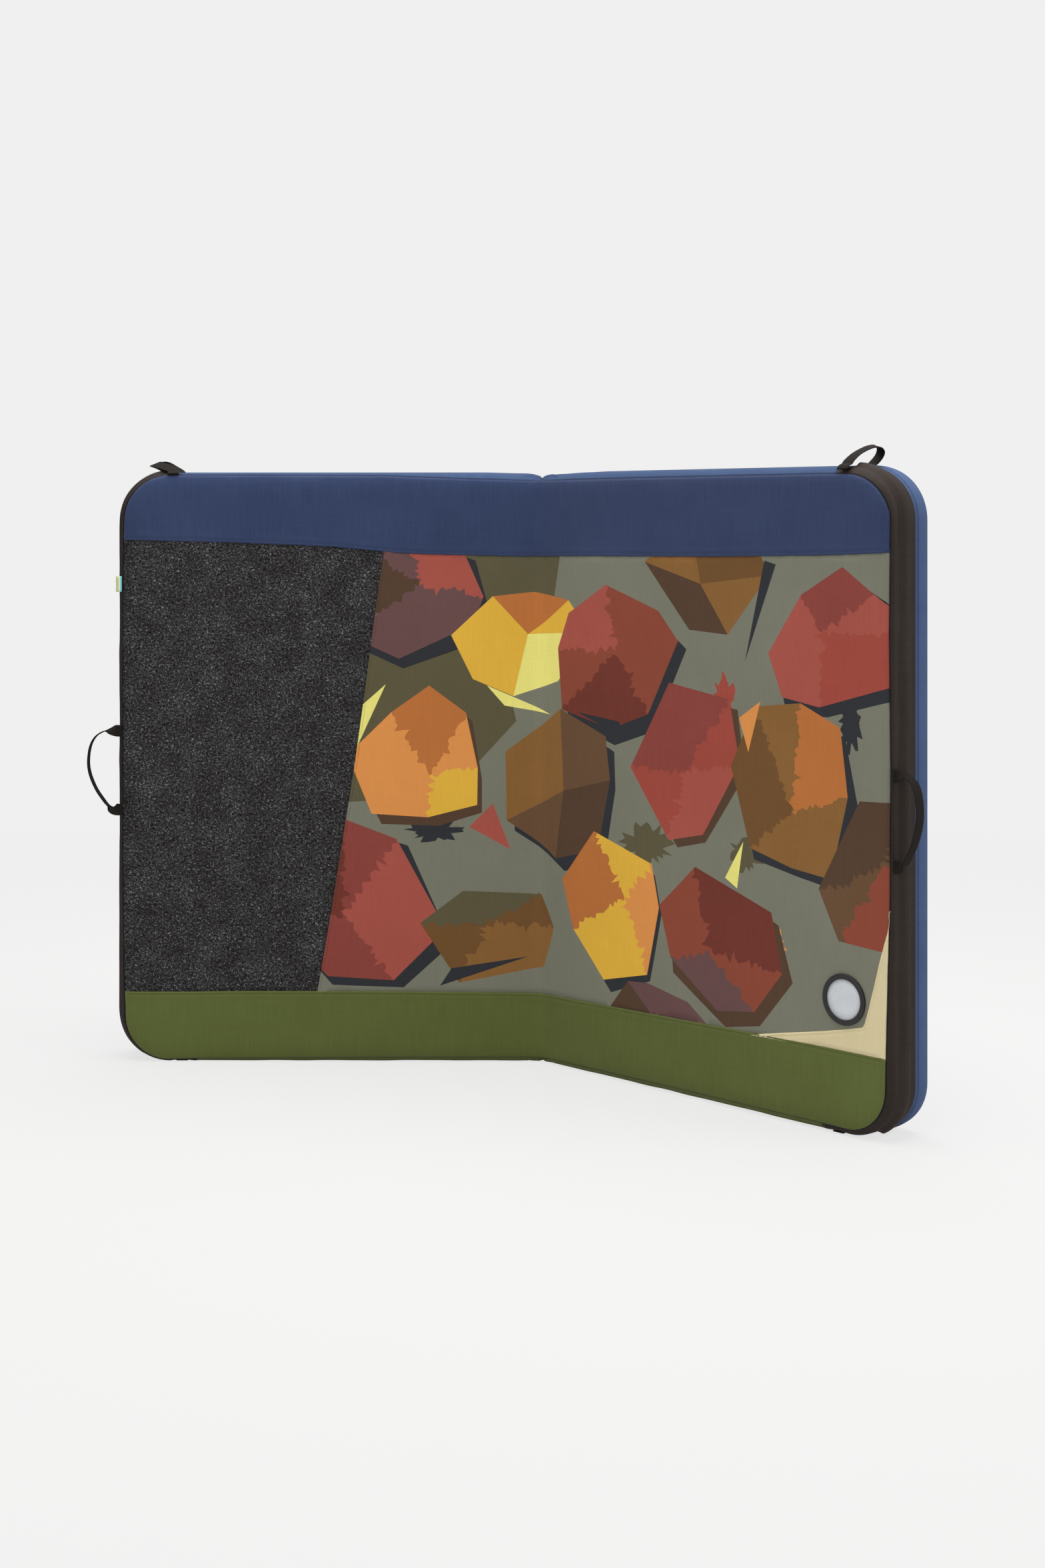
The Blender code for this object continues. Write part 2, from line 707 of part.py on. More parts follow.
def end_handle(side):
    """A webbing loop from the landing seam of the free end, with a quarter turn in it."""
    sign = SIGN[side]
    seam = AXIS_FORWARD + EDGE_DROP + CLOTH / 2
    deep = AXIS_FORWARD + END_HANDLE_BACK
    half = END_HANDLE_SPAN / 2
    height, reach = end_loop_forms[side]
    foot = end_face(EDGE_DROP + 2 * CLOTH) + FIT - HALF_LENGTH
    flat, edge_on = (0, 0, 1), (0, 1, 0)
    # out as a share of the reach, up as a share of half the span, and how far it has
    # gone back and turned
    loop_shares = (
        (0.0, 1.0, 0.0), (0.08, 1.0, 0.0), (0.26, 1.01, 0.45), (0.48, 1.0, 1.0),
        (0.77, 0.86, 1.0), (0.94, 0.60, 1.0), (1.0, 0.22, 1.0), (0.95, -0.10, 1.0),
        (0.78, -0.46, 1.0), (0.55, -0.76, 1.0), (0.38, -0.93, 1.0), (0.24, -0.99, 0.45),
        (0.08, -1.0, 0.0), (0.0, -1.0, 0.0),
    )
    route = []
    for out, up, turned_share in loop_shares:
        x = HALF_LENGTH + foot + (reach - foot) * out
        y = seam + (deep - seam) * turned_share
        point = (sign * x, y, height + half * up)
        turn = turned_share * math.pi / 2
        way = Vector(flat) * math.cos(turn) + Vector(edge_on) * math.sin(turn)
        route.append((point, way))
    new_part(side + "_end_handle", webbing(route, WEB_WIDTH, WEB), WEBBING,
             HALVES[side], smooth=50)


def top_handle(side):
    """A webbing loop across the top wall, from the landing seam to the ground cover."""
    sign = SIGN[side]
    rise, lean, twist = top_loop_forms[side]
    base_z = PAD_HEIGHT + TOP_SWELL + FIT + WEB / 2
    base_x = HALF_LENGTH - TOP_HANDLE_FROM_END
    # back as a share of the span, up and aside as shares of the rise and the lean
    loop_shares = ((-0.06, 0.0, 0.0), (0.03, 0.02, 0.0), (0.12, 0.24, 0.10),
                   (0.32, 0.56, 0.40), (0.58, 0.82, 0.75), (0.84, 0.97, 0.95),
                   (1.08, 0.98, 1.0), (1.25, 0.80, 0.80), (1.27, 0.50, 0.45),
                   (1.12, 0.14, 0.10), (0.98, 0.0, 0.0), (0.88, 0.0, 0.0))
    tilt_share = 0.6
    route = []
    for back, up, aside in loop_shares:
        point = (sign * (base_x + lean * aside),
                 AXIS_FORWARD + TOP_HANDLE_FRONT + TOP_HANDLE_SPAN * back,
                 base_z + rise * up)
        tilt = math.atan2(lean, rise) * aside * tilt_share
        yaw = math.radians(twist) * aside
        route.append((point, (sign * math.cos(tilt) * math.cos(yaw), -math.sin(yaw),
                              -math.sin(tilt) * math.cos(yaw))))
    new_part(side + "_top_handle", webbing(route, WEB_WIDTH, WEB), WEBBING,
             HALVES[side], smooth=50)


def bottom_handle(side):
    """The same loop pressed flat between the bottom wall and the floor."""
    part = new_part(side + "_bottom_handle", block((WEB_WIDTH, FOOT_HANDLE_SPAN, WEB)),
                    WEBBING, HALVES[side])
    part.location = (SIGN[side] * (HALF_LENGTH - FOOT_HANDLE_FROM_END),
                     AXIS_FORWARD + FOOT_HANDLE_FRONT + FOOT_HANDLE_SPAN / 2, WEB / 2)


def woven_tab():
    """A short folded tape in the seam of the left free end."""
    inner = end_face(EDGE_DROP + TAB_THICKNESS) + FIT
    part = new_part("woven_label", block((TAB_REACH, TAB_THICKNESS, TAB_HEIGHT)), TAB,
                    HALVES["left"])
    part.location = (-(inner + TAB_REACH / 2),
                     AXIS_FORWARD + EDGE_DROP + CLOTH / 2, PAD_HEIGHT - TAB_FROM_TOP)


# Carrying harness

def padded_section(point, wide, off, width, thickness):
    """A flattened oval across a shoulder pad."""
    points = []
    for k in range(12):
        turn = math.pi * k / 6
        across = math.copysign(abs(math.cos(turn)) ** 0.6, math.cos(turn)) * width / 2
        up = math.copysign(abs(math.sin(turn)) ** 0.8, math.sin(turn)) * thickness / 2
        points.append(point + wide * across + off * up)
    return points


def shoulder_strap(name, outward):
    """A padded strap that arches off the cover, its buckle and its webbing below."""
    ground = AXIS_FORWARD + PAD_THICKNESS + FIT
    top_x = HALF_LENGTH / 2 + outward * STRAP_GAP / 2
    top_z = PAD_HEIGHT - STRAP_FROM_TOP
    low_z = top_z - PAD_STRAP_LENGTH
    # down as a share of the length, off the cover and aside as shares of their sizes
    arch_shares = ((0.0, 0.0, 0.0), (0.08, 0.10, 0.0), (0.24, 0.72, 0.10),
                   (0.45, 1.0, 0.28), (0.66, 0.86, 0.52), (0.84, 0.44, 0.78),
                   (0.94, 0.20, 0.92), (1.0, 0.14, 1.0))
    base_y = ground + PAD_STRAP / 2
    points = []
    for down, off, aside in arch_shares:
        points.append((-(top_x + outward * STRAP_SPREAD * aside / 2),
                       base_y + STRAP_ARCH * off, top_z - PAD_STRAP_LENGTH * down))
    line = smooth_through(points, 3)
    frames = strip_frames(line, [Vector((1, 0, 0))] * len(line))
    sections = []
    top_share, foot_share = 0.45, 0.25  # how full the pad is at its two ends
    for k, (point, wide, off) in enumerate(frames):
        down = k / (len(frames) - 1)
        from_top = top_share + down * PAD_STRAP_LENGTH / PAD_TAPER
        from_foot = foot_share + (1 - down) * PAD_STRAP_LENGTH / PAD_TAPER
        full = min(1, from_top, from_foot)
        width = PAD_STRAP_END_WIDTH + (PAD_STRAP_WIDTH - PAD_STRAP_END_WIDTH) * full
        sections.append(padded_section(point, wide, off, width, PAD_STRAP * (1 + full) / 2))
    new_part(name + "_shoulder_pad", loft(sections), BLUE, HALVES["left"], smooth=40)

    # the buckle hangs under the pad's end, a little off the cover
    lock_x = top_x + outward * STRAP_SPREAD / 2
    lock_y = line[-1].y
    lock_z = low_z - FIT - LOCK_LENGTH / 2 - PAD_STRAP / 8
    lock = new_part(name + "_ladder_lock", block((LOCK_WIDTH, LOCK_THICKNESS, LOCK_LENGTH)),
                    PLASTIC, HALVES["left"])
    lock.location = (-lock_x, lock_y, lock_z)
    gap = (LOCK_LENGTH - 3 * LOCK_BAR) / 2
    for index, up in enumerate((-1, 1)):
        slot = new_cutter(
            name + "_lock_slot_" + str(index),
            block((LOCK_WIDTH - 2 * LOCK_BAR + FIT, LOCK_THICKNESS + CUT_OVERRUN, gap)),
            HALVES["left"])
        slot.location = (-lock_x, lock_y, lock_z + up * (LOCK_BAR + gap) / 2)
        cut(lock, slot, "DIFFERENCE")
    ease_edges(lock, LOCK_EASE, segments=1)

    # webbing: up behind the buckle, round its middle bar and down again as a free tail
    clear = 2 * FIT + WEB / 2
    turn = LOCK_THICKNESS / 2 + clear
    corner_share = 0.85
    bar = LOCK_BAR / 2
    foot_x = lock_x + outward * STRAP_SPREAD / 2
    foot_y = ground + WEB / 2
    route = [
        (-foot_x, foot_y, STRAP_FOOT),
        (-foot_x, foot_y, STRAP_FOOT + HARNESS_WEB_WIDTH / 2),
        (-foot_x, foot_y + FIT, STRAP_FOOT + HARNESS_WEB_WIDTH),
        (-(foot_x + lock_x) / 2, (foot_y + lock_y - turn) / 2, (STRAP_FOOT + lock_z) / 2),
        (-lock_x, lock_y - turn, lock_z - LOCK_LENGTH / 2 - gap),
        (-lock_x, lock_y - turn, lock_z - bar),
        (-lock_x, lock_y - turn, lock_z + bar / 2),
        (-lock_x, lock_y - corner_share * turn, lock_z + bar + clear),
        (-lock_x, lock_y, lock_z + bar + 2 * clear),
        (-lock_x, lock_y + corner_share * turn, lock_z + bar + clear),
        (-lock_x, lock_y + turn, lock_z + bar / 2),
        (-lock_x, lock_y + turn, lock_z - bar),
        (-lock_x, lock_y + turn, lock_z - LOCK_LENGTH / 2 - gap),
        (-lock_x, lock_y + turn, lock_z - TAIL_LENGTH),
    ]
    width = LOCK_WIDTH - 2 * LOCK_BAR - FIT
    strap = webbing([(point, (1, 0, 0)) for point in route], width, WEB, steps=3)
    new_part(name + "_strap_web", strap, WEBBING, HALVES["left"], smooth=50)


def haul_loop():
    """A short carrying loop between the shoulder pads."""
    ground = AXIS_FORWARD + PAD_THICKNESS + FIT + WEB / 2
    middle = HALF_LENGTH / 2
    half = HAUL_SPAN / 2
    loop_shares = ((-1.0, 0.0), (-0.88, 0.0), (-0.80, 0.02), (-0.66, 0.26), (-0.42, 0.80),
                   (0.0, 1.0), (0.42, 0.80), (0.66, 0.26), (0.80, 0.02), (0.88, 0.0),
                   (1.0, 0.0))
    height = PAD_HEIGHT - HAUL_FROM_TOP
    route = [((-(middle + half * aside), ground + HAUL_RISE * up, height), (0, 0, 1))
             for aside, up in loop_shares]
    new_part("haul_loop", webbing(route, WEB_WIDTH, WEB), WEBBING, HALVES["left"], smooth=50)


# Assembly

def build_half(side, cutters):
    firm_foam(side)
    soft_foam(side)
    back_cover(side)
    wall(side, "top_wall", BLUE)
    wall(side, "end_gusset", BLACK)
    wall(side, "bottom_wall", GREEN)
    wall(side, "hinge_wall", BLUE)
    landing_panels(side, cutters)
    zip_chain(side)
    zip_flap(side)
    zip_slider(side)
    end_handle(side)
    top_handle(side)
    bottom_handle(side)


def centre_on_floor(frame):
    """Puts the middle of the pad's outer box over the origin, with its base on z = 0."""
    bpy.context.view_layer.update()
    graph = bpy.context.evaluated_depsgraph_get()
    corners = []
    for part in PARTS.objects:
        if part.type == "MESH":
            done = part.evaluated_get(graph)
            corners += [done.matrix_world @ Vector(corner) for corner in done.bound_box]
    low = Vector([min(corner[k] for corner in corners) for k in range(3)])
    high = Vector([max(corner[k] for corner in corners) for k in range(3)])
    frame.location = (-(low.x + high.x) / 2, -(low.y + high.y) / 2, -low.z)


clear_scene()
PARTS = new_collection("crash_pad")
CUTTERS = new_collection("cutters")
OUTLINE = half_outline()
PAD = new_empty("pad")
FOLD_AXIS = new_empty("fold_axis", PAD)
HALVES = {
    "left": new_empty("left_half", FOLD_AXIS),
    "right": new_empty("right_half", FOLD_AXIS, turn=-FOLD_TURN),
}
middle_cutters = {}
for half in ("left", "right"):
    build_half(half, middle_cutters)
left_middle(middle_cutters)
right_middle(middle_cutters)
badge()
fold_bead()
woven_tab()
shoulder_strap("inner", -1)
shoulder_strap("outer", 1)
haul_loop()
centre_on_floor(PAD)
bpy.context.view_layer.update()
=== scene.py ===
import json
import math

import bmesh
import bpy
import numpy as np
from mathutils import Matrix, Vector
from mathutils.geometry import delaunay_2d_cdt


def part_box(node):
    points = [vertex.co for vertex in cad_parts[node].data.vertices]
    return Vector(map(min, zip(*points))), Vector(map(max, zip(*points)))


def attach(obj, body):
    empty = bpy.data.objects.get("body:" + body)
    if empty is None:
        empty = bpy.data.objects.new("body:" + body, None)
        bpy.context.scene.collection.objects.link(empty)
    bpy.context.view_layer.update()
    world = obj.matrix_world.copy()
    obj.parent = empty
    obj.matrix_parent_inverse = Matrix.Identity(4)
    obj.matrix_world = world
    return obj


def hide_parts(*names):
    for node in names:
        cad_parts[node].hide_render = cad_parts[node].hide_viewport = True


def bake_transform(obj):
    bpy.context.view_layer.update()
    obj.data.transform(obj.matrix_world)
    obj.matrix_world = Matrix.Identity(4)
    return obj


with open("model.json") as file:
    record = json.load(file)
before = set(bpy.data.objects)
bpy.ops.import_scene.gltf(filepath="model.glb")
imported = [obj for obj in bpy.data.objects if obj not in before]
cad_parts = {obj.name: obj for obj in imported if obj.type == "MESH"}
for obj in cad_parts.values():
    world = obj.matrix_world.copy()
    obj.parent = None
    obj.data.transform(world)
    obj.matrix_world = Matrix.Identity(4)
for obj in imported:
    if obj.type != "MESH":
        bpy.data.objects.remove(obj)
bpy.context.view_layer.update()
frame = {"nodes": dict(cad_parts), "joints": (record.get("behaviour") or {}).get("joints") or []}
print("frame loaded:", len(frame["nodes"]), "nodes")

foldJoint = next(joint for joint in frame["joints"] if joint["name"] == "fold")
foldAt = Vector(foldJoint["pos_m"])
foldTurn = math.radians(foldJoint["range_deg"][1])  # this far forward from flat

pad = {
    "length": 0.710,  # of one half, from the fold to its free end
    "height": 1.000,
    "thickness": 0.100,
    "behindAxis": 0.0022,  # the landing cloth lies this far behind the folding axis
    "cornerRadius": 0.080,
    "shoulderRun": 0.0266,  # the outline is eased at both ends of the fold
    "shoulderDrop": 0.007,
    "endBelly": 0.007,
    "topBelly": 0.002,
    "edgeWidth": 0.042,  # the landing side rounds off over this width
    "edgeDepth": 0.008,
    "backRadius": 0.010,
    "backBulge": 0.0050,
    "backFull": 0.4,  # the least share of that bulge, beside a straight wall
    "backGroove": 0.0012,
    "backSeam": 0.058,  # the ground side's cover starts this deep
    "backIn": 0.0006,  # and ends this far inside the thickness
    "gussetOnTop": 0.100,  # the black wall's ends, from the free end
    "gussetOnFoot": 0.126,
    "foldWidth": 0.018,  # the cloth bends over this length on each side of the fold
    "clothThickness": 0.0011,
    "seamGroove": 0.0020,  # depth and half width of the dent along the outer seam
    "foldGap": 0.0006,  # from the plane of the fold to each half
    "foldClear": 0.0012,  # the ground side's cover keeps this clear of that plane
    "foldDrawn": -0.15,  # the belly of the fold's own edge, drawn in to lie flat
    "seamGap": 0.0018,  # the walls start this far behind the landing cloth's edge
    "step": 0.006,  # between the places along the outline
    "gap": 0.0003,  # between pieces that touch
}
sideSign = {"left": -1, "right": 1}

landing = {
    # the hems that divide the cloth, as along and z, left to right or top to foot
    "top": ((-0.740, 0.8880), (-0.690, 0.8865), (-0.635, 0.8852), (-0.578, 0.8838),
            (-0.521, 0.8824), (-0.465, 0.8803), (-0.408, 0.8780), (-0.351, 0.8752),
            (-0.295, 0.8700), (-0.250, 0.8655), (-0.215, 0.8634), (-0.125, 0.8610),
            (-0.034, 0.8590), (0.0, 0.8592), (0.089, 0.8608), (0.178, 0.8615),
            (0.279, 0.8618), (0.362, 0.8625), (0.442, 0.8638), (0.520, 0.8656),
            (0.595, 0.8670), (0.668, 0.8700), (0.740, 0.8732)),
    "foot": ((-0.740, 0.1195), (-0.600, 0.1195), (-0.500, 0.1208), (-0.300, 0.1208),
             (-0.125, 0.1195), (0.0, 0.1180), (0.090, 0.1192), (0.180, 0.1212),
             (0.280, 0.1230), (0.360, 0.1245), (0.440, 0.1258), (0.520, 0.1276),
             (0.600, 0.1281), (0.740, 0.1284)),
    "carpet": ((-0.2620, 0.892), (-0.2665, 0.860), (-0.2725, 0.819), (-0.2850, 0.7285),
               (-0.2997, 0.6152), (-0.3156, 0.5020), (-0.3337, 0.3887),
               (-0.3519, 0.2754), (-0.3689, 0.1735), (-0.3785, 0.1200),
               (-0.3845, 0.0880)),
    "patch": ((0.7390, 0.375), (0.7052, 0.345), (0.7048, 0.325), (0.7034, 0.312),
              (0.6995, 0.2972), (0.6934, 0.2756), (0.6822, 0.2316), (0.6709, 0.1903),
              (0.6640, 0.1690), (0.6580, 0.1670), (0.6442, 0.1640), (0.5953, 0.1520),
              (0.5454, 0.1420), (0.4944, 0.1318), (0.4750, 0.1278), (0.4450, 0.1215)),
    # how far in front of the outline the seam with the walls runs
    "seamPlaces": (0.0, 0.12, 0.27, 0.58, 0.63, 0.71),
    "seamTop": {"left": (0.0124, 0.0090, 0.0035, 0.0025, 0.0025, 0.0025),
                "right": (0.0118, 0.0112, 0.0105, 0.0098, 0.0108, 0.0108)},
    "seamFoot": {"left": (0.0082, 0.0080, 0.0072, 0.0055, 0.0035, 0.0030),
                 "right": (0.0090, 0.0100, 0.0108, 0.0110, 0.0108, 0.0105)},
    # and round the free end, by height
    "endHeights": (0.0, 0.08, 0.16, 0.36, 0.56, 0.75, 0.85, 0.93, 1.0),
    "seamEnd": {"left": (0.0030, 0.0045, 0.0020, -0.0007, -0.0013, -0.0011, 0.0008, 0.0022,
                         0.0025),
                "right": (0.0105, 0.0100, 0.0085, 0.0035, 0.0027, 0.0046, 0.0036, 0.0030,
                          0.0108)},
    "spacing": 0.0065,
    "edgeRows": (0.0010, 0.0024, 0.0048),  # rows of points inside the outer seam
    "margin": 0.002,  # points are kept this far round a panel's box
    "overlap": 0.004,  # a cloth runs this far under the hem of its neighbour
}


# Places on the pad

def softNoise(x, y, size, seed):
    # smooth noise from -1 to 1 on a lattice of cells this large
    lattice = np.random.default_rng(seed).uniform(-1, 1, (64, 64))
    cellX, cellY = np.asarray(x) / size, np.asarray(y) / size
    i, j = np.floor(cellX).astype(int), np.floor(cellY).astype(int)
    s, t = cellX - i, cellY - j
    s = s ** 3 * (s * (6 * s - 15) + 10)
    t = t ** 3 * (t * (6 * t - 15) + 10)
    low = lattice[i % 64, j % 64] * (1 - s) + lattice[(i + 1) % 64, j % 64] * s
    high = lattice[i % 64, (j + 1) % 64] * (1 - s) + lattice[(i + 1) % 64, (j + 1) % 64] * s
    return low * (1 - t) + high * t


def smoothStep(value, low, high):
    share = np.clip((np.asarray(value, float) - low) / (high - low), 0, 1)
    return share * share * (3 - 2 * share)


def hollows(x, y, size, seed):
    # the same noise from 0 to 1
    return 0.5 - 0.5 * softNoise(x, y, size, seed)


def mound(distance, width):
    return np.exp(-(distance / width) ** 2)


def shoulder(x):
    # how far the outline is eased at the fold's ends
    inside = np.clip(1 - np.asarray(x, float) / pad["shoulderRun"], 0, 1)
    return pad["shoulderDrop"] * (1 - np.sqrt(1 - inside ** 2))


def fromOutline(x, z):
    # how far inside the half's outline a point lies
    length, height, radius = pad["length"], pad["height"], pad["cornerRadius"]
    x, z = np.asarray(x, float), np.asarray(z, float)
    drop = shoulder(x)
    edge = np.minimum(np.minimum(height - drop - z, z - drop), length - x)
    cornerX = x - (length - radius)
    cornerZ = np.maximum(z - (height - radius), radius - z)
    corner = radius - np.hypot(cornerX, cornerZ)
    return np.where((cornerX > 0) & (cornerZ > 0), corner, edge)


def edgeDepth(inside):
    # how far the landing side has rounded back at this distance inside the outline
    share = np.clip(1 - inside / pad["edgeWidth"], 0, 1)
    return pad["edgeDepth"] * (1 - np.sqrt(1 - share ** 2))


def seamInset(side, x, z):
    if x > pad["length"] - pad["cornerRadius"]:
        return np.interp(z, landing["endHeights"], landing["seamEnd"][side])
    table = landing["seamTop" if z > pad["height"] / 2 else "seamFoot"][side]
    return np.interp(x, landing["seamPlaces"], table)


def onHalf(side, x, deep, z):
    # a rigid place on a half, from its own coordinates
    x = np.asarray(x, float) * sideSign[side]
    deep = np.asarray(deep, float) + pad["behindAxis"]
    turn = -foldTurn if side == "right" else 0.0
    return np.stack(np.broadcast_arrays(
        foldAt.x + x * math.cos(turn) - deep * math.sin(turn),
        foldAt.y + x * math.sin(turn) + deep * math.cos(turn),
        np.asarray(z, float)), axis=-1)


def onCloth(along, deep, z):
    # a place on the landing cloth, which bends smoothly across the fold
    along, deep = np.asarray(along, float), np.asarray(deep, float) + pad["behindAxis"]
    width = pad["foldWidth"]
    share = np.clip((along + width) / (2 * width), 0, 1)
    turn = -foldTurn
    endX, endY = width * math.cos(turn), width * math.sin(turn)
    left = np.minimum(along + width, 0)
    right = np.maximum(along - width, 0)
    x = left - width * (1 - share) ** 2 + endX * share ** 2 + right * math.cos(turn)
    y = endY * share ** 2 + right * math.sin(turn)
    slopeX = width * (1 - share) + endX * share
    slopeY = endY * share
    size = np.hypot(slopeX, slopeY)
    return np.stack(np.broadcast_arrays(
        foldAt.x + x - deep * slopeY / size, foldAt.y + y + deep * slopeX / size,
        np.asarray(z, float)), axis=-1)


def outlineStations(side):
    # places round a half: x, z, the way outwards, belly, inset of the seam, wall
    length, height, radius = pad["length"], pad["height"], pad["cornerRadius"]
    run, step = pad["shoulderRun"], pad["step"]
    topShare = pad["topBelly"] / pad["endBelly"]
    corner = length - radius
    ends = {True: length - pad["gussetOnTop"], False: length - pad["gussetOnFoot"]}
    found = []

    def straight(start, end, isTop, wall):
        count = max(2, round(abs(end - start) / step))
        for k in range(count + 1):
            x = start + (end - start) * k / count
            drop = float(shoulder(x))
            slope = drop / pad["shoulderDrop"]
            way = Vector((-slope, 1 if isTop else -1)).normalized()
            z = height - drop if isTop else drop
            belly = topShare * float(smoothStep(x, run, 0.1)) if isTop else 0.0
            found.append((x, z, way.x, way.y, belly, wall))

    def corner90(centreZ, start):
        count = round(radius * math.pi / 2 / step)
        for k in range(1, count):
            turn = math.radians(start + 90 * k / count)
            outX, outZ = math.cos(turn), math.sin(turn)
            belly = outX ** 2 + (topShare * outZ ** 2 if start == 0 else 0)
            found.append((corner + radius * outX, centreZ + radius * outZ,
                          outX, outZ, belly, "end_gusset"))

    straight(pad["foldGap"], ends[False], False, "bottom_wall")
    straight(ends[False], corner, False, "end_gusset")
    corner90(radius, 270)
    count = round((height - 2 * radius) / step)
    for k in range(count + 1):
        z = radius + (height - 2 * radius) * k / count
        found.append((length, z, 1.0, 0.0, 1.0, "end_gusset"))
    corner90(height - radius, 0)
    straight(corner, ends[True], True, "end_gusset")
    straight(ends[True], pad["foldGap"], True, "top_wall")
    stations = []
    for x, z, outX, outZ, belly, wall in found:
        inset = float(seamInset(side, x, z)) - float(shoulder(x))
        stations.append((x, z, outX, outZ, belly, inset, wall))
    return stations


stations = {side: outlineStations(side) for side in sideSign}


def landingOutline():
    # the seam round the landing cloth of both halves, anticlockwise, as along and z
    points = []
    for side in ("right", "left"):
        ring = [(sideSign[side] * (x - inset * outX), z - inset * outZ)
                for x, z, outX, outZ, _, inset, _ in stations[side]]
        points += ring if side == "right" else ring[::-1]
    merged = [points[0]]
    for point in points[1:]:
        if math.dist(point, merged[-1]) > 0.0015:
            merged.append(point)
    return np.array(merged)


outlineOfLanding = landingOutline()


def insideRing(ring, points):
    # whether flat points lie within a closed ring
    inside = np.zeros(len(points), bool)
    along, z = points[:, 0], points[:, 1]
    for (x1, z1), (x2, z2) in zip(ring, np.roll(ring, -1, axis=0)):
        if z1 != z2:
            crosses = (z1 > z) != (z2 > z)
            inside ^= crosses & (along < x1 + (x2 - x1) * (z - z1) / (z2 - z1))
    return inside


def closed(ring):
    return np.concatenate([ring, ring[:1]])


def unit(ways):
    return ways / np.linalg.norm(ways, axis=1)[:, None]


def resample(points, step):
    # the same line with points this far apart
    points = np.asarray(points, float)
    lengths = np.linalg.norm(np.diff(points, axis=0), axis=1)
    along = np.concatenate(([0], np.cumsum(lengths)))
    count = max(2, round(along[-1] / step))
    at = np.linspace(0, along[-1], count + 1)
    return np.stack([np.interp(at, along, points[:, k]) for k in range(points.shape[1])],
                    axis=1)


def toLine(points, line):
    # signed distance from an open line, positive on its left
    points, line = np.asarray(points, float), np.asarray(line, float)
    best = np.full(len(points), 1e9)
    sign = np.ones(len(points))
    for one, two in zip(line, line[1:]):
        run = two - one
        share = np.clip(((points - one) @ run) / (run @ run), 0, 1)
        gap = points - one - share[:, None] * run
        size = np.hypot(gap[:, 0], gap[:, 1])
        side = run[0] * gap[:, 1] - run[1] * gap[:, 0]
        closer = size < best
        best = np.where(closer, size, best)
        sign = np.where(closer, np.sign(side), sign)
    return best * np.where(sign == 0, 1, sign)


def shiftLine(line, distance):
    # an open line moved to its left
    ahead = unit(np.gradient(np.asarray(line, float), axis=0))
    return line + distance * np.stack([-ahead[:, 1], ahead[:, 0]], axis=1)


# the hems as lines with even points
seams = {name: resample(landing[name], landing["spacing"])
         for name in ("top", "foot", "carpet", "patch")}


# Heights of the landing cloth

hem = {
    # distance from a folded edge, and how proud the cloth is there
    "places": (0.0, 0.0006, 0.0016, 0.0030, 0.0042, 0.0060, 0.0110, 0.0135),
    "proud": (0.0001, 0.0010, 0.0015, 0.0014, 0.0008, 0.0012, 0.0011, 0.0008),
    "stitchAt": 0.0042,
}


def hemProud(distance):
    return np.interp(distance, hem["places"], hem["proud"])


def ripple(along, z):
    # the soft unevenness of cloth that is pulled over foam
    return 0.0011 * softNoise(along, z, 0.21, 3) + 0.0005 * softNoise(along, z, 0.075, 4)


def puckers(distance, along, seed, size=0.010, height=0.00035, reach=0.012):
    # small gathers that run square to a line of stitches
    fade = np.exp(-np.abs(distance) / reach)
    return height * fade * softNoise(along, distance, size, seed)


def clothDepth(along, z):
    # depth of the canvas level, before hems
    x = np.abs(along)
    inside = fromOutline(x, z)
    calm = smoothStep(inside, 0.0, 0.05)
    groove = toLine(np.stack([along, z], axis=1), closed(outlineOfLanding))
    return (edgeDepth(inside) + (pad["clothThickness"] - ripple(along, z)) * calm
            + pad["seamGroove"] * mound(groove, pad["seamGroove"])
            + puckers(groove, along + z, 11))


def addObject(name, data):
    piece = bpy.data.objects.new(name, data)
    bpy.context.scene.collection.objects.link(piece)
    return piece


def newObject(name, vertices, faces, edges=(), smooth=True):
    mesh = bpy.data.meshes.new(name)
    mesh.from_pydata([tuple(v) for v in vertices], list(edges), [tuple(f) for f in faces])
    mesh.update()
    if smooth:
        mesh.shade_smooth()
    return addObject(name, mesh)


def addUv(piece, coordinates):
    # flat-cloth coordinates in metres, one pair for each vertex
    layer = piece.data.uv_layers.new(name="cloth")
    corners = np.zeros(len(piece.data.loops), int)
    piece.data.loops.foreach_get("vertex_index", corners)
    layer.data.foreach_set("uv", np.asarray(coordinates, np.float32)[corners].ravel())


def ringFaces(rings, count, closes=False, caps=True):
    # quads between closed rings of points; the ends are capped, or joined where it closes
    faces = [(i * count + j, i * count + (j + 1) % count,
              (i + 1) % rings * count + (j + 1) % count, (i + 1) % rings * count + j)
             for i in range(rings if closes else rings - 1) for j in range(count)]
    if caps and not closes:
        last = (rings - 1) * count
        faces += [tuple(range(count))[::-1], tuple(range(last, last + count))]
    return faces


def tubeObject(name, rings, count, pointAt, closes=False):
    # pointAt gives a point and its flat coordinates, from its ring and its turn
    found = [pointAt(k, math.tau * j / count) for k in range(rings) for j in range(count)]
    points, flat = zip(*found)
    piece = newObject(name, points, ringFaces(rings, count, closes))
    addUv(piece, flat)
    return piece


def facedOut(piece, weld=0.0):
    # the piece with its faces turned outwards, after its closest points are joined
    skin = bmesh.new()
    skin.from_mesh(piece.data)
    if weld:
        bmesh.ops.remove_doubles(skin, verts=skin.verts, dist=weld)
    bmesh.ops.recalc_face_normals(skin, faces=skin.faces)
    skin.to_mesh(piece.data)
    skin.free()
    return piece


def evenGrid(low, high, step):
    # flat points a step apart, from low up to high
    xs, zs = np.arange(low[0], high[0], step), np.arange(low[1], high[1], step)
    return np.stack(np.meshgrid(xs, zs), axis=-1).reshape(-1, 2)


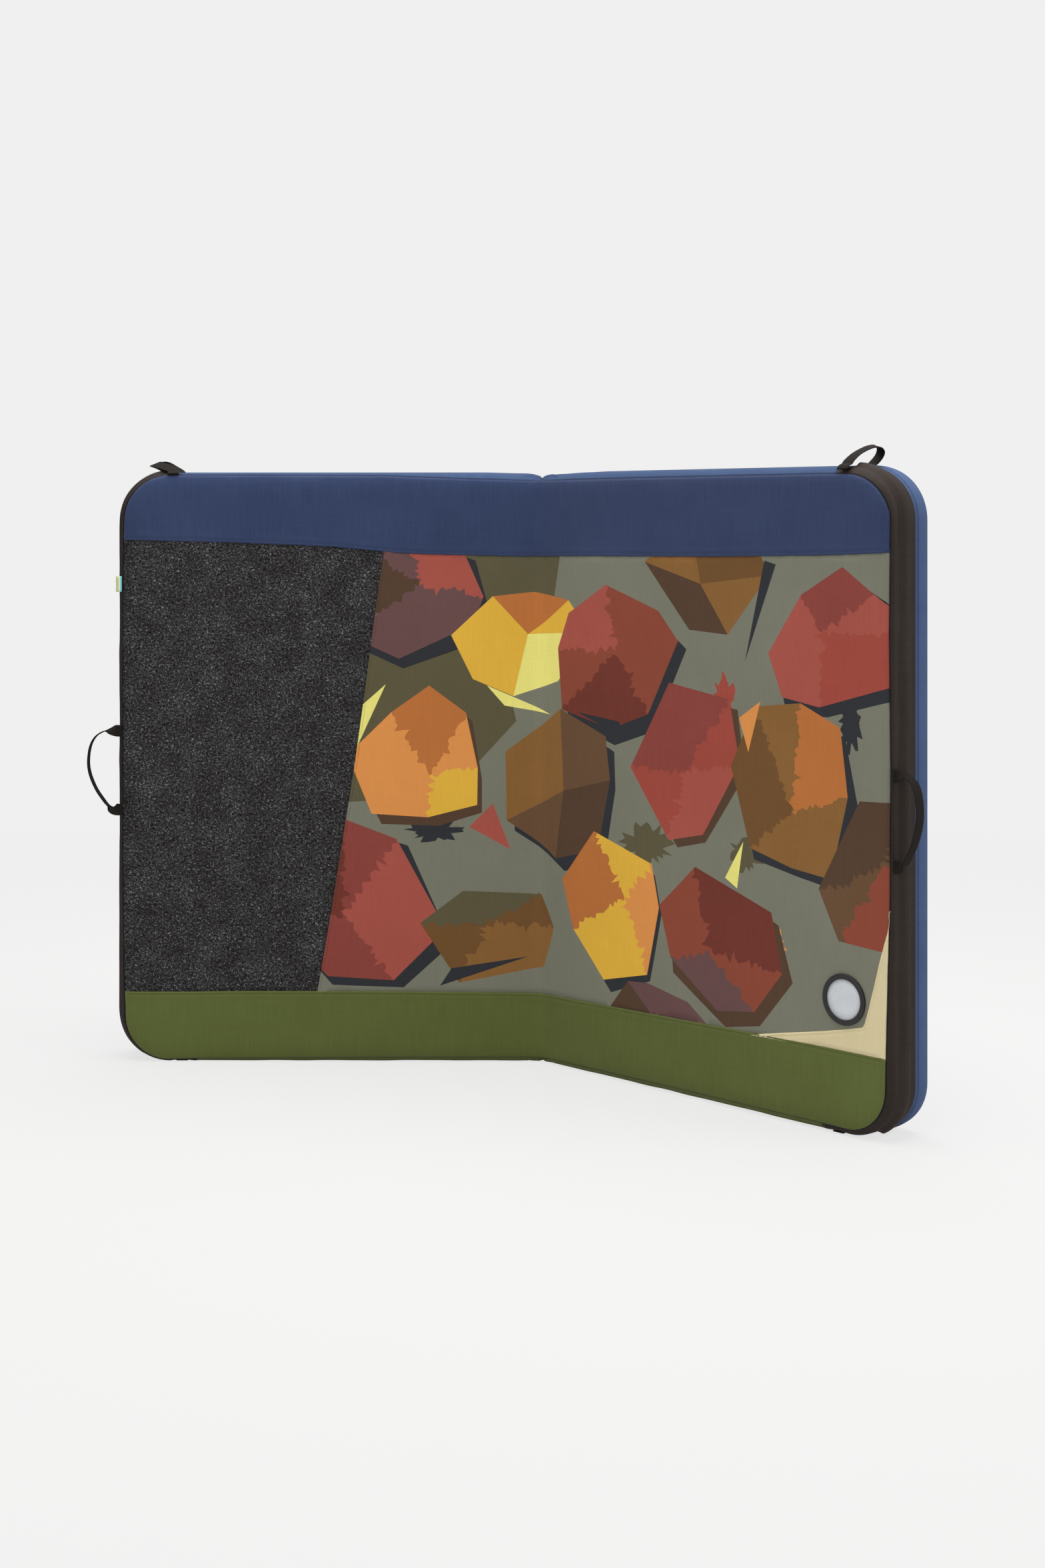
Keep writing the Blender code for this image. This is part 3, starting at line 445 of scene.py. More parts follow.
def thicken(piece, thickness=None, even=True):
    step = piece.modifiers.new("thickness", "SOLIDIFY")
    step.thickness = thickness or pad["clothThickness"]
    step.offset = -1
    step.use_even_offset = even  # off where sharp folds would draw the corners out
    return piece


def clothPanel(name, keep, hems, low, high, height, inkLoops=()):
    # a panel of the landing cloth: keep says which points belong to it
    low, high, step = np.array(low), np.array(high), landing["spacing"]
    outline = closed(outlineOfLanding)
    lines = [outline] + [line for line, _ in hems]
    extra = [shiftLine(outline, offset)[:-1] for offset in landing["edgeRows"]]
    for line, reach in hems:
        extra += [shiftLine(line, offset * reach) for offset in hem["places"][1:] if reach]
    grid = evenGrid(low, high + step, step)
    clear = np.full(len(grid), True)
    for line in lines:
        clear &= np.abs(toLine(grid, line)) > (hem["places"][-1] + step) / 2
    for loop in inkLoops:
        near = np.abs(grid - loop.mean(axis=0)) < np.ptp(loop, axis=0) + 0.01
        near = np.all(near, axis=1)
        clear[near] &= np.abs(toLine(grid[near], closed(loop))) > step * 0.3
    points, edges = [], []
    for chain in lines + [closed(loop) for loop in inkLoops]:
        start = len(points)
        points += list(chain)
        edges += [(start + k, start + k + 1) for k in range(len(chain) - 1)]
    loose = np.concatenate(extra + [grid[clear]])
    margin = landing["margin"]
    within = ((loose >= low - margin) & (loose <= high + margin)).all(axis=1)
    vectors = [Vector(point) for point in points + list(loose[within])]
    vertices, _, faces, *_ = delaunay_2d_cdt(vectors, edges, [], 0, 1e-6)
    flat = np.array([(v.x, v.y) for v in vertices])
    faces = np.array([tuple(face) for face in faces])
    centres = flat[faces].mean(axis=1)
    kept = insideRing(outlineOfLanding, centres) & keep(*centres.T)
    faces, centres = faces[kept], centres[kept]
    used, faces = np.unique(faces, return_inverse=True)
    flat, faces = flat[used], faces.reshape(-1, 3)
    corners = flat[faces]
    one, two = corners[:, 1] - corners[:, 0], corners[:, 2] - corners[:, 0]
    backwards = one[:, 0] * two[:, 1] - one[:, 1] * two[:, 0] < 0
    faces[backwards] = faces[backwards][:, ::-1]
    piece = newObject(name, onCloth(flat[:, 0], height(*flat.T), flat[:, 1]), faces)
    addUv(piece, flat)
    return piece, centres


# Materials

def ink(red, green, blue):
    # a colour as a screen shows it, made linear
    return tuple((c / 12.92 if c <= 0.04045 else ((c + 0.055) / 1.055) ** 2.4)
                 for c in (red / 255, green / 255, blue / 255)) + (1.0,)


def shaderGroup(name, inputs, outputs):
    group = bpy.data.node_groups.new(name, "ShaderNodeTree")
    for label, kind, value in inputs:
        socket = group.interface.new_socket(label, in_out="INPUT", socket_type=kind)
        if value is not None:
            socket.default_value = value
    for label, kind in outputs:
        group.interface.new_socket(label, in_out="OUTPUT", socket_type=kind)
    return group, group.nodes.new("NodeGroupInput"), group.nodes.new("NodeGroupOutput")


def addNode(tree, kind, values=None, **settings):
    node = tree.nodes.new(kind)
    for key, value in settings.items():
        setattr(node, key, value)
    for key, value in (values or {}).items():
        if isinstance(value, bpy.types.NodeSocket):
            tree.links.new(value, node.inputs[key])
        else:
            node.inputs[key].default_value = value
    return node


def mathNode(tree, operation, one, two=0.0, clamp=False):
    node = addNode(tree, "ShaderNodeMath", {0: one, 1: two}, operation=operation)
    node.use_clamp = clamp
    return node.outputs[0]


def times(tree, one, two):
    return mathNode(tree, "MULTIPLY", one, two)


def plus(tree, one, two):
    return mathNode(tree, "ADD", one, two)


def mixColour(tree, share, one, two, blend="MIX"):
    node = addNode(tree, "ShaderNodeMix", {0: share, 6: one, 7: two}, data_type="RGBA",
                   blend_type=blend)
    return node.outputs[2]


def noiseNode(tree, vector, scale, detail=2.0, roughness=0.5):
    values = {"Vector": vector, "Scale": scale, "Detail": detail, "Roughness": roughness}
    return addNode(tree, "ShaderNodeTexNoise", values).outputs["Fac"]


def rangeNode(tree, value, low, high, toLow=0.0, toHigh=1.0):
    values = {0: value, 1: low, 2: high, 3: toLow, 4: toHigh}
    return addNode(tree, "ShaderNodeMapRange", values, clamp=True).outputs[0]


def stretched(tree, vector, x, y):
    values = {0: vector, 1: (x, y, 1.0)}
    return addNode(tree, "ShaderNodeVectorMath", values, operation="MULTIPLY").outputs[0]


def clothPlace(tree):
    return addNode(tree, "ShaderNodeUVMap", uv_map="cloth").outputs["UV"]


def rampNode(tree, level, stops, interpolation="LINEAR"):
    node = addNode(tree, "ShaderNodeValToRGB", {0: level})
    node.color_ramp.interpolation = interpolation
    elements = node.color_ramp.elements
    while len(elements) < len(stops):
        elements.new(0.5)
    for element, (position, colour) in zip(elements, stops):
        element.position, element.color = position, ink(*colour)
    return node.outputs[0]


def makeWeaveGroup():
    # plain weave with slubs: the height of the threads, and how dark the slubs make it
    group, given, put = shaderGroup(
        "plainWeave",
        [("Vector", "NodeSocketVector", None), ("Threads", "NodeSocketFloat", 900.0),
         ("Slubs", "NodeSocketFloat", 1.0)],
        [("Height", "NodeSocketFloat"), ("Shade", "NodeSocketFloat")])
    vector, threads = given.outputs["Vector"], given.outputs["Threads"]
    parts = addNode(group, "ShaderNodeSeparateXYZ", {0: vector})
    waves = [mathNode(group, "SINE", times(group, times(group, part, threads), math.pi))
             for part in parts.outputs[:2]]
    warp = noiseNode(group, stretched(group, vector, 420, 16), 1.0, 3.0)
    weft = noiseNode(group, stretched(group, vector, 16, 420), 1.0, 3.0)
    blotch = noiseNode(group, vector, 9.0, 3.0)
    both = plus(group, rangeNode(group, warp, 0.35, 0.7, 0.0, 0.4),
                rangeNode(group, weft, 0.4, 0.75, 0.0, 0.25))
    both = plus(group, both, rangeNode(group, blotch, 0.35, 0.65, 0.0, 0.3))
    shade = mathNode(group, "MULTIPLY", both, given.outputs["Slubs"], clamp=True)
    height = plus(group, times(group, times(group, *waves), 0.5), times(group, warp, 0.8))
    group.links.new(height, put.inputs["Height"])
    group.links.new(shade, put.inputs["Shade"])
    return group


weaveGroup = makeWeaveGroup()


def newMaterial(name, roughness, sheen=0.0, metallic=0.0, gloss=0.3):
    material = bpy.data.materials.new(name)
    material.use_nodes = True
    tree = material.node_tree
    shader = tree.nodes["Principled BSDF"]
    for label, value in (("Roughness", roughness), ("Metallic", metallic),
                         ("Sheen Weight", sheen), ("Sheen Roughness", 0.5),
                         ("Specular IOR Level", gloss)):
        shader.inputs[label].default_value = value
    return material, tree, shader


def useBump(tree, shader, height, distance, strength=1.0):
    values = {"Height": height, "Distance": distance, "Strength": strength}
    bump = addNode(tree, "ShaderNodeBump", values)
    tree.links.new(bump.outputs["Normal"], shader.inputs["Normal"])


def clothMaterial(name, light, dark, roughness, sheen, threads, slubs, relief, gloss):
    # woven cloth in one colour, or printed where the mesh carries an ink colour
    material, tree, shader = newMaterial(name, roughness, sheen, gloss=gloss)
    values = {"Vector": clothPlace(tree), "Threads": threads, "Slubs": slubs}
    weave = addNode(tree, "ShaderNodeGroup", values, node_tree=weaveGroup)
    if light:
        light, dark = ink(*light), ink(*dark)
    else:
        light = addNode(tree, "ShaderNodeAttribute", attribute_name="ink").outputs["Color"]
        dark = mixColour(tree, 1.0, light, dark, "MULTIPLY")
    shade = weave.outputs["Shade"]
    tree.links.new(mixColour(tree, shade, light, dark), shader.inputs["Base Color"])
    useBump(tree, shader, weave.outputs["Height"], relief)
    rough = rangeNode(tree, shade, 0.0, 1.0, roughness - 0.06, roughness + 0.06)
    tree.links.new(rough, shader.inputs["Roughness"])
    return material


def feltMaterial(name, settings):
    # needle felt: dark fibres with grey and bluish flecks
    material, tree, shader = newMaterial(name, settings["roughness"],
                                         gloss=settings["gloss"])
    place = clothPlace(tree)
    swirl = addNode(tree, "ShaderNodeTexNoise", {"Vector": place, "Scale": 160.0})
    bent = addNode(tree, "ShaderNodeVectorMath",
                   {0: swirl.outputs["Color"], 1: (0.010, 0.010, 0)}, operation="MULTIPLY")
    spot = addNode(tree, "ShaderNodeVectorMath", {0: place, 1: bent.outputs[0]}).outputs[0]
    fine = noiseNode(tree, spot, settings["fleckScale"], 3.0, 0.62)
    loose = noiseNode(tree, spot, settings["fleckScale"] * 0.45, 2.0)
    cloud = noiseNode(tree, place, 22.0, 3.0)
    level = plus(tree, fine, times(tree, loose, 0.45))
    level = plus(tree, level, times(tree, cloud, 0.12))
    tree.links.new(rampNode(tree, level, settings["stops"]), shader.inputs["Base Color"])
    useBump(tree, shader, level, settings["relief"])
    return material


def plainMaterial(name, light, dark, roughness, grainScale, relief):
    # moulded plastic, rubber, metal, foam or thread: a grain, and tone that drifts a little
    material, tree, shader = newMaterial(name, roughness,
                                         sheen=0.1 if "Thread" in name else 0.0,
                                         metallic=1.0 if "Metal" in name else 0.0)
    place = addNode(tree, "ShaderNodeTexCoord").outputs["Object"]
    grain = noiseNode(tree, place, grainScale, 3.0)
    drift = noiseNode(tree, place, 18.0, 3.0)
    tone = plus(tree, times(tree, grain, 0.5), times(tree, drift, 0.5))
    tone = mixColour(tree, rangeNode(tree, tone, 0.35, 0.65), ink(*light), ink(*dark))
    tree.links.new(tone, shader.inputs["Base Color"])
    rough = rangeNode(tree, grain, 0.3, 0.7, roughness - 0.05, roughness + 0.08)
    tree.links.new(rough, shader.inputs["Roughness"])
    useBump(tree, shader, grain, relief)
    return material


def webbingMaterial(name, settings):
    # narrow woven tape: a herringbone rib on the tape's own length and width
    material, tree, shader = newMaterial(name, settings["roughness"],
                                         gloss=settings["gloss"])
    place = clothPlace(tree)
    parts = addNode(tree, "ShaderNodeSeparateXYZ", {0: place})
    rows = times(tree, parts.outputs[1], settings["ribs"])
    fold = times(tree, mathNode(tree, "PINGPONG", rows, 1.0), 0.8)
    slant = plus(tree, times(tree, parts.outputs[0], settings["picks"]), fold)
    rib, edge = (mathNode(tree, "SINE", times(tree, value, math.tau))
                 for value in (slant, rows))
    height = plus(tree, times(tree, rib, 0.3), times(tree, edge, 0.2))
    fuzz = noiseNode(tree, place, 900.0, 2.0)
    share = rangeNode(tree, plus(tree, height, fuzz), 0.1, 0.9)
    tree.links.new(mixColour(tree, share, ink(*settings["dark"]), ink(*settings["light"])),
                   shader.inputs["Base Color"])
    useBump(tree, shader, height, settings["relief"])
    return material


finishes = {
    # light and dark tone, roughness, sheen, threads in a metre, slubs, relief, gloss
    "blueCloth": ((48, 62, 96), (37, 49, 81), 0.80, 0.10, 1500, 0.9, 0.00012, 0.20),
    # the next two rows are the same blue cloth painted lighter: painted light on the ground
    # side's cover and its rounded edges, and on the top wall under the overhead lamp
    "blueSidePaintedLightCloth": ((65, 83, 117), (56, 72, 104), 0.84, 0.0, 1500, 0.8, 0.00012, 0.15),
    "blueTopPaintedLightCloth": ((52, 70, 102), (44, 59, 89), 0.84, 0.0, 1500, 0.8, 0.00012, 0.15),
    "greenCloth": ((92, 101, 51), (81, 89, 41), 0.84, 0.05, 1400, 0.8, 0.00012, 0.20),
    "blackCloth": ((50, 42, 38), (40, 34, 31), 0.76, 0.0, 1500, 0.9, 0.00012, 0.12),
    # its light tone is the ink, and its dark one a share of that
    "printedCanvas": (None, (0.86, 0.86, 0.84, 1), 0.86, 0.03, 1250, 0.9, 0.00015, 0.20),
    "creamCloth": ((214, 201, 161), (201, 187, 146), 0.86, 0.03, 1250, 0.6, 0.00012, 0.20),
}
plainFinishes = {
    # light and dark tone, roughness, scale and height of the grain
    "blackRubber": ((46, 44, 44), (36, 34, 35), 0.50, 700, 0.00008),
    "paleRubber": ((206, 210, 214), (190, 195, 200), 0.55, 500, 0.00008),
    "firmFoam": ((104, 106, 108), (88, 90, 92), 0.95, 400, 0.0006),
    "softFoam": ((222, 212, 182), (204, 192, 158), 0.98, 300, 0.0008),
    "zipPlastic": ((38, 37, 38), (28, 27, 28), 0.40, 900, 0.00004),
    "zipMetal": ((70, 70, 72), (52, 52, 54), 0.32, 900, 0.00004),
    "bucklePlastic": ((40, 40, 41), (30, 30, 31), 0.38, 800, 0.00006),
    "darkThread": ((34, 34, 36), (24, 24, 26), 0.70, 1500, 0.0001),
    "navyThread": ((30, 40, 66), (24, 32, 54), 0.70, 1500, 0.0001),
    "greenThread": ((60, 68, 34), (50, 57, 28), 0.70, 1500, 0.0001),
    "creamThread": ((206, 190, 146), (190, 173, 128), 0.70, 1500, 0.0001),
}
cloths = {name: clothMaterial(name, *values) for name, values in finishes.items()}
carpetFelt = feltMaterial("carpetFelt", {
    "roughness": 0.95, "gloss": 0.08, "fleckScale": 640.0, "relief": 0.0006,
    "stops": ((0.58, (20, 17, 15)), (0.75, (32, 29, 27)), (0.86, (62, 61, 62)),
              (0.99, (140, 143, 150)))})
webbing = webbingMaterial("blackWebbing", {
    "roughness": 0.80, "ribs": 400.0, "picks": 520.0, "relief": 0.00025,
    "gloss": 0.08, "light": (38, 33, 30), "dark": (20, 17, 16)})
solids = {name: plainMaterial(name, *values) for name, values in plainFinishes.items()}
print("materials made:", len(bpy.data.materials))


def finished(piece, material, slot, *nodes, rides=None):
    # gives a piece its finish and the body that it follows, and hides the CAD nodes in whose
    # place it comes; a piece without a body, where it crosses the fold, only has its place fixed
    # in the world
    piece.data.materials.clear()
    piece.data.materials.append(material)
    if rides:
        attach(piece, rides)
    else:
        start, end = (tuple(onCloth(side * pad["foldWidth"], 0, 0)) for side in (-1, 1))
        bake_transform(piece)
    if nodes:
        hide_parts(*nodes)
    return piece


def camel(node):
    # a piece's own name, from the name of the node that it replaces
    first, *rest = node.split("_")
    return first + "".join(word.title() for word in rest)


# Printed canvas: faceted stones with torn edges, placed by a table. Their corners and
# tears are drawn from fixed seeds.

inks = {
    "ground": (121, 122, 107), "olive": (92, 86, 62), "navy": (45, 47, 52),
    "plum": (104, 74, 73), "brick": (166, 82, 70), "brickDeep": (138, 66, 58),
    "rust": (140, 70, 52), "rustDeep": (112, 52, 42), "orange": (222, 146, 76),
    "orangeDeep": (186, 112, 56), "yellow": (226, 178, 62), "pale": (236, 228, 128),
    "brown": (104, 76, 52), "brownDeep": (84, 62, 46), "ochre": (136, 96, 50),
    "ochreDeep": (112, 78, 42), "clay": (160, 72, 60),
}

stones = (
    # along, z, half width, half height, body, facet, deeper facet, shadow, torn, seed
    (-0.215, 0.800, 0.150, 0.105, "plum", "brick", "brownDeep", "navy", True, 3),
    (-0.020, 0.720, 0.118, 0.094, "yellow", "pale", "orangeDeep", None, False, 5),
    (0.365, 0.835, 0.150, 0.098, "ochre", "ochreDeep", "brownDeep", None, False, 11),
    (0.165, 0.700, 0.152, 0.135, "rust", "brick", "rustDeep", "navy", True, 8),
    (0.610, 0.735, 0.138, 0.110, "brick", "clay", "brickDeep", "navy", True, 13),
    (-0.195, 0.515, 0.118, 0.128, "orange", "yellow", "orangeDeep", "brownDeep", True, 17),
    (0.045, 0.470, 0.132, 0.122, "brown", "ochre", "brownDeep", "navy", False, 19),
    (0.320, 0.530, 0.130, 0.146, "clay", "brick", "brickDeep", "brownDeep", True, 23),
    (0.535, 0.505, 0.118, 0.140, "ochre", "orangeDeep", "ochreDeep", "navy", True, 29),
    (-0.310, 0.265, 0.138, 0.158, "brickDeep", "brick", "rustDeep", "navy", True, 31),
    (-0.070, 0.225, 0.126, 0.104, "ochreDeep", "ochre", "olive", None, True, 37),
    (0.165, 0.280, 0.112, 0.132, "yellow", "orange", "orangeDeep", "navy", True, 41),
    (0.395, 0.250, 0.132, 0.118, "rust", "plum", "rustDeep", "brownDeep", True, 43),
    (0.680, 0.400, 0.100, 0.130, "brown", "rust", "brownDeep", None, True, 47),
    (0.255, 0.118, 0.105, 0.062, "plum", "plum", "brownDeep", None, False, 53),
)

slivers = (
    ("pale", ((-0.355, 0.560), (-0.262, 0.642), (-0.318, 0.520))),
    ("pale", ((-0.090, 0.640), (0.022, 0.592), (-0.060, 0.606))),
    ("navy", ((0.440, 0.700), (0.478, 0.858), (0.500, 0.852))),
    ("navy", ((0.085, 0.600), (0.196, 0.560), (0.176, 0.590))),
    ("orange", ((0.428, 0.612), (0.470, 0.640), (0.446, 0.560))),
    ("navy", ((-0.170, 0.130), (-0.020, 0.180), (-0.150, 0.160))),
    ("pale", ((0.400, 0.360), (0.436, 0.420), (0.424, 0.346))),
    ("brick", ((-0.120, 0.400), (-0.080, 0.440), (-0.050, 0.362))),
)

blots = (
    ("navy", 0.640, 0.620, 0.022, 0.046, 61), ("clay", 0.398, 0.640, 0.026, 0.040, 67),
    ("olive", 0.240, 0.395, 0.058, 0.036, 71), ("navy", -0.180, 0.395, 0.046, 0.024, 73),
    ("orange", 0.500, 0.262, 0.020, 0.034, 79), ("olive", 0.440, 0.400, 0.034, 0.028, 83),
)


def roundLoop(along, z, wide, high, rng, count, jitter, near, far):
    # corners of an uneven shape round a middle
    turns = (np.arange(count) + rng.uniform(-jitter, jitter, count)) / count * math.tau
    reach = rng.uniform(near, far, count)
    return np.stack([along + wide * reach * np.cos(turns),
                     z + high * reach * np.sin(turns)], axis=1)


def tornLine(start, end, rng, depth=0.006, pitch=0.005):
    # a ragged line between two points, without its last point
    start, end = np.asarray(start, float), np.asarray(end, float)
    run = end - start
    size = np.hypot(*run)
    across = np.array([-run[1], run[0]]) / size
    count = max(2, int(size / pitch))
    places = (np.arange(count) + np.r_[0, rng.uniform(-0.35, 0.35, count - 1)]) / count
    swing = rng.uniform(-1, 1, count) * np.where(rng.random(count) < 0.2, 2.4, 1.0)
    swing[0] = 0
    return start + places[:, None] * run + (depth * swing)[:, None] * across


def stoneLoops(stone):
    along, z, wide, high, body, facet, deep, shadow, torn, seed = stone
    rng = np.random.default_rng(seed)
    count = int(rng.integers(6, 9))
    corners = roundLoop(along, z, wide, high, rng, count, 0.28, 0.76, 1.12)
    heart = np.array([along, z]) + rng.uniform(-0.22, 0.22, 2) * (wide, high)
    loops = []
    if shadow:
        scatter = rng.uniform(-0.06, 0.06, corners.shape)
        drop = np.array([0.10, -0.13]) * wide + scatter * wide
        loops.append((corners + drop, shadow))
    loops.append((corners, body))
    first = int(rng.integers(count))
    for name, offset in ((facet, 0), (deep, 3)):
        ring = [corners[(first + offset + k) % count] for k in range(3)]
        if torn:
            back = tornLine(ring[-1], heart, rng)
            forth = tornLine(heart, ring[0], rng)
            loops.append((np.concatenate([ring[:-1], back, forth]), name))
        else:
            loops.append((np.array(ring + [heart]), name))
    return loops


def blotLoop(blot):
    name, *place, seed = blot
    return roundLoop(*place, np.random.default_rng(seed), 34, 0.3, 0.55, 1.15), name


def printLoops():
    zone = np.array([(-0.60, 0.90), (0.05, 0.90), (0.02, 0.74), (-0.06, 0.66),
                     (-0.04, 0.58), (-0.16, 0.45), (-0.60, 0.43)])
    return [(zone, "olive"), *map(blotLoop, blots),
            *(loop for stone in stones for loop in stoneLoops(stone)),
            *((np.array(corners), name) for name, corners in slivers)]


def shortEdges(loop, step=0.006):
    # the same closed loop with no edge longer than a step
    points = []
    for one, two in zip(loop, np.roll(loop, -1, axis=0)):
        count = max(1, math.ceil(math.dist(one, two) / step))
        points += [one + (two - one) * k / count for k in range(count)]
    return np.array(points)


def paintInk(piece, centres, loops):
    # each face takes the ink of the topmost shape that holds its centre
    colours = np.tile(ink(*inks["ground"]), (len(centres), 1))
    for loop, name in loops:
        colours[insideRing(loop, centres)] = ink(*inks[name])
    colours = np.repeat(colours, 3, axis=0).astype(np.float32)
    layer = piece.data.color_attributes.new(name="ink", type="FLOAT_COLOR", domain="CORNER")
    layer.data.foreach_set("color", colours.ravel())


# Stitches

stitch = {"Pitch": 0.0034, "Length": 0.0027, "Width": 0.00075, "Height": 0.0005}
stitchPlaces = {
    "seamPitch": 0.0030, "harnessPitch": 0.0028,
    "seamSink": -0.0012,  # the row in the outer seam stands out of its dent
    "backSeam": 0.0045,  # behind the seam of the ground side
}


def startRowTree(name, sizes, finish, pitchShare):
    # a tree with named inputs that puts points along every curve of the mesh's edges
    tree = bpy.data.node_groups.new(name, "GeometryNodeTree")
    for label, way, kind in (("Geometry", "INPUT", "Geometry"),
                             *((label, "INPUT", "Float") for label in sizes),
                             (finish, "INPUT", "Material"),
                             ("Geometry", "OUTPUT", "Geometry")):
        tree.interface.new_socket(label, in_out=way, socket_type="NodeSocket" + kind)
    given = tree.nodes.new("NodeGroupInput").outputs
    curve = addNode(tree, "GeometryNodeMeshToCurve", {"Mesh": given["Geometry"]})
    pitch = times(tree, given["Pitch"], pitchShare)
    spaced = addNode(tree, "GeometryNodeResampleCurve", mode="LENGTH",
                     values={"Curve": curve.outputs[0], "Length": pitch})
    tangent = addNode(tree, "GeometryNodeInputTangent")
    off = addNode(tree, "GeometryNodeInputNamedAttribute", {"Name": "off"},
                  data_type="FLOAT_VECTOR")
    turn = addNode(tree, "FunctionNodeAxesToRotation",
                   {"Primary Axis": tangent.outputs[0], "Secondary Axis": off.outputs[0]},
                   primary_axis="X", secondary_axis="Z")
    return tree, given, {"Points": spaced.outputs[0], "Rotation": turn.outputs[0]}


def endRowTree(tree, node, material):
    # gives what a node makes its material, and hands it out
    done = addNode(tree, "GeometryNodeSetMaterial", {"Geometry": node.outputs[0],
                                                     "Material": material})
    tree.links.new(done.outputs[0], tree.nodes.new("NodeGroupOutput").inputs[0])
    return tree


def makeStitchTree():
    # one row of stitches along every curve
    tree, given, points = startRowTree("stitchRow", ("Pitch", "Length", "Width", "Height"),
                                       "Thread", 1.0)
    halves = [times(tree, given[label], 0.5) for label in ("Length", "Width", "Height")]
    size = addNode(tree, "ShaderNodeCombineXYZ", dict(enumerate(halves)))
    ball = addNode(tree, "GeometryNodeMeshUVSphere",
                   {"Segments": 6, "Rings": 4, "Radius": 1.0})
    placed = addNode(tree, "GeometryNodeInstanceOnPoints",
                     {**points, "Instance": ball.outputs[0], "Scale": size.outputs[0]})
    real = addNode(tree, "GeometryNodeRealizeInstances", {0: placed.outputs[0]})
    smooth = addNode(tree, "GeometryNodeSetShadeSmooth", {0: real.outputs[0]})
    return endRowTree(tree, smooth, given["Thread"])


stitchTree = makeStitchTree()


def evaluated(piece):
    # the piece with its modifiers worked out as a plain mesh
    graph = bpy.context.evaluated_depsgraph_get()
    mesh = bpy.data.meshes.new_from_object(piece.evaluated_get(graph), depsgraph=graph)
    piece.modifiers.clear()
    piece.data = mesh
    return piece


def laidRows(name, rows, tree, values):
    # what a tree lays along rows of (places, ways off the surface, closed)
    vertices, edges, offs = [], [], []
    for places, ways, isClosed in rows:
        start, count = len(vertices), len(places)
        vertices += list(places)
        offs += list(ways)
        edges += [(start + k, start + k + 1) for k in range(count - 1)]
        if isClosed:
            edges.append((start + count - 1, start))
    piece = newObject(name, vertices, (), edges, smooth=False)
    layer = piece.data.attributes.new("off", "FLOAT_VECTOR", "POINT")
    layer.data.foreach_set("vector", np.array(offs, np.float32).ravel())
    step = piece.modifiers.new("rows", "NODES")
    step.node_group = tree
    for item in tree.interface.items_tree:
        if item.item_type == "SOCKET" and item.in_out == "INPUT" and item.name in values:
            step[item.identifier] = values[item.name]
    return evaluated(piece)


def sewn(name, rows, thread, slot, rides=None, pitch=stitch["Pitch"]):
    piece = laidRows(name, rows, stitchTree,
                     {**stitch, "Pitch": pitch, "Thread": solids[thread]})
    return finished(piece, solids[thread], slot, rides=rides)


def clothRow(line, depthAt, isClosed=False, sink=0.0):
    # a row of thread on the landing cloth, where the line lies inside its outer seam
    line = np.asarray(line, float)
    if not isClosed:
        line = resample(line, 0.004)
        gap = np.abs(toLine(line, closed(outlineOfLanding)))
        line = line[insideRing(outlineOfLanding, line) & (gap > 0.003)]
    deep = depthAt(line[:, 0], line[:, 1]) + sink
    places = onCloth(line[:, 0], deep, line[:, 1])
    ways = unit(onCloth(line[:, 0], deep - 0.001, line[:, 1]) - places)
    return places, ways, isClosed


# Landing cloth

def fromSeam(name, along, z):
    return toLine(np.stack([along, z], axis=1), seams[name])


hems = {
    # side of the line that its panel lies on, whether it runs upright, seed of the gathers
    "top": (1, False, 21), "foot": (-1, False, 22), "carpet": (1, True, 23),
    "patch": (1, True, 24),
}


def hemmedDepth(name):
    # the depth of the panel that ends at this hem
    sign, upright, seed = hems[name]

    def depth(along, z):
        distance = sign * fromSeam(name, along, z)
        raised = hemProud(distance)
        if name == "carpet":  # the canvas lies level again beyond its hem
            raised = raised * (1 - smoothStep(distance, 0.012, 0.035))
        return (clothDepth(along, z) - raised
                + puckers(distance, z if upright else along, seed))

    return depth


def carpetDepth(along, z):
    return clothDepth(along, z) + 0.0004 + 0.0004 * softNoise(along, z, 0.006, 31)


def betweenBands(along, z):
    over = landing["overlap"]
    return (fromSeam("top", along, z) < over) & (fromSeam("foot", along, z) > -over)


